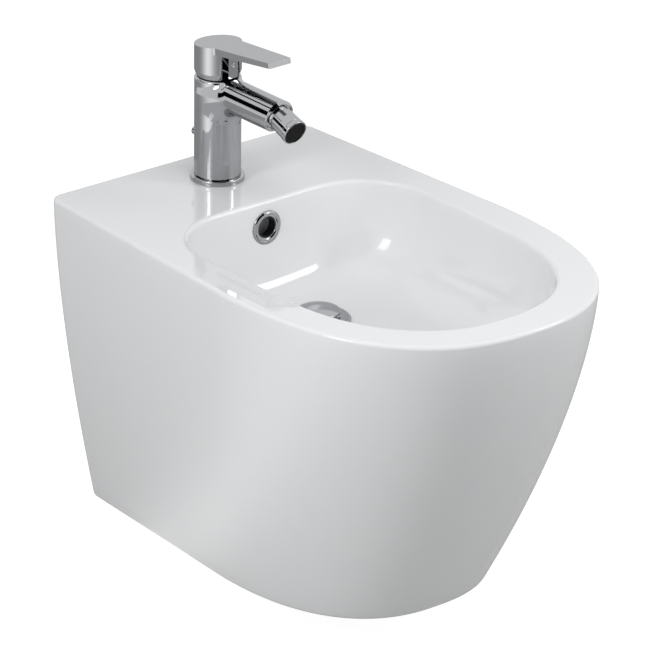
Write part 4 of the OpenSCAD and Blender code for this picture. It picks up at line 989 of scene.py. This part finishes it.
lamp("overhead_lamp", (-100, -800, 1180), (0, -300, 0), (700, 700), 4.8, mirrored=False)
lamp("left_lamp", (-1480, -320, 500), (-100, -300, 0), (420, 1400), 6.0, mirrored=False)
lamp("left_strip", (-1400, -320, 900), (-100, -300, 0), (420, 560), 4.2)
lamp("right_lamp", (860, -1090, 380), (60, -300, 0), (300, 800), 2.6, mirrored=False)
lamp("right_strip", (800, -1040, 740), (60, -300, 0), (300, 300), 2.1)
lamp("front_lamp", (-900, -2250, 400), (0, -400, -100), (1200, 1200), 5.0, mirrored=False)

# %% [markdown]
# Polished chrome shows the room more than itself. Photographers hang dark flags where a tube of chrome
# needs a dark line to read as round. These stand far off and are seen only by mirrored rays: a low
# broad one and a thin higher one at the back on the left, and a tall one in front.

# %% Flags
FLAG_R = 2500
velvet, velvet_out = new_material("black_flag_cloth")
nap = add_node(velvet.node_tree, "ShaderNodeBsdfDiffuse", {"Color": linear("#151515")})
velvet.node_tree.links.new(nap.outputs[0], velvet_out.inputs["Surface"])


def flag(name, turn_from, turn_to, rise_from, rise_to):
    """A curved strip round the tap between two bearings, from the back towards the left, and two
    rises above the level of the spout, all in degrees."""
    bm = bmesh.new()
    start = math.radians(90 + turn_from)
    ends = [bm.verts.new((FLAG_R * math.cos(start), FLAG_R * math.sin(start),
                          FLAG_R * math.tan(math.radians(rise)))) for rise in (rise_from, rise_to)]
    bmesh.ops.spin(bm, geom=ends + [bm.edges.new(ends)], axis=(0, 0, 1), cent=(0, 0, 0), steps=24,
                   angle=math.radians(turn_to - turn_from))
    made = as_object(place_bm(bm, Matrix.Translation(at_tap(0, 0, SPOUT_H))), name)
    made.data.materials.append(velvet)
    made.visible_camera = made.visible_diffuse = made.visible_shadow = False


flag("low_flag", 20, 75, 3, 22)
flag("high_flag", 5, 65, 35, 39)
flag("front_flag", 118, 202, 8, 60)

# %% [markdown]
# Upright chrome mirrors what lies below the level, which here is the floor. A graduated card on the
# floor, again seen only by mirrored rays, is grey all round and bright on the left, so that the column
# is shaded from a dark edge over a bright band to a grey middle.

# %% Graduated card
CARD_GREY, CARD_BRIGHT, CARD_BEARING, CARD_SPREAD = 0.46, 1.15, -86, 28

graded, graded_out = new_material("graduated_card")
shades = graded.node_tree
spot = add_node(shades, "ShaderNodeSeparateXYZ",
                {"Vector": (add_node(shades, "ShaderNodeTexCoord"), "Object")})


def maths(operation, *values):
    """A Math node on numbers and on (node, socket) pairs."""
    node = add_node(shades, "ShaderNodeMath", operation=operation)
    for place, value in zip(node.inputs, values):
        if isinstance(value, tuple):
            shades.links.new(socket(value[0].outputs, value[1]), place)
        else:
            place.default_value = value
    return node, "Value"


ahead_of_tap = maths("SUBTRACT", TAP.y * MM, (spot, "Y"))
bearing = maths("ARCTAN2", (spot, "X"), ahead_of_tap)
from_middle = maths("SUBTRACT", bearing, math.radians(CARD_BEARING))
off_middle = maths("DIVIDE", from_middle, math.radians(CARD_SPREAD))
fall = maths("EXPONENT", maths("MULTIPLY", maths("MULTIPLY", off_middle, off_middle), -1.0))
level_of_card = maths("MULTIPLY_ADD", fall, CARD_BRIGHT, CARD_GREY)
shine = add_node(shades, "ShaderNodeEmission", {"Color": linear("#FFFFFF"), "Strength": level_of_card})
shades.links.new(shine.outputs[0], graded_out.inputs["Surface"])

card_bm = bmesh.new()
bmesh.ops.create_circle(card_bm, cap_ends=True, segments=64, radius=FLAG_R)
card = as_object(place_bm(card_bm, Matrix.Translation((0, TAP.y, FLOOR_Z + 1))), "floor_card")
card.data.materials.append(graded)
card.visible_camera = card.visible_diffuse = card.visible_shadow = False
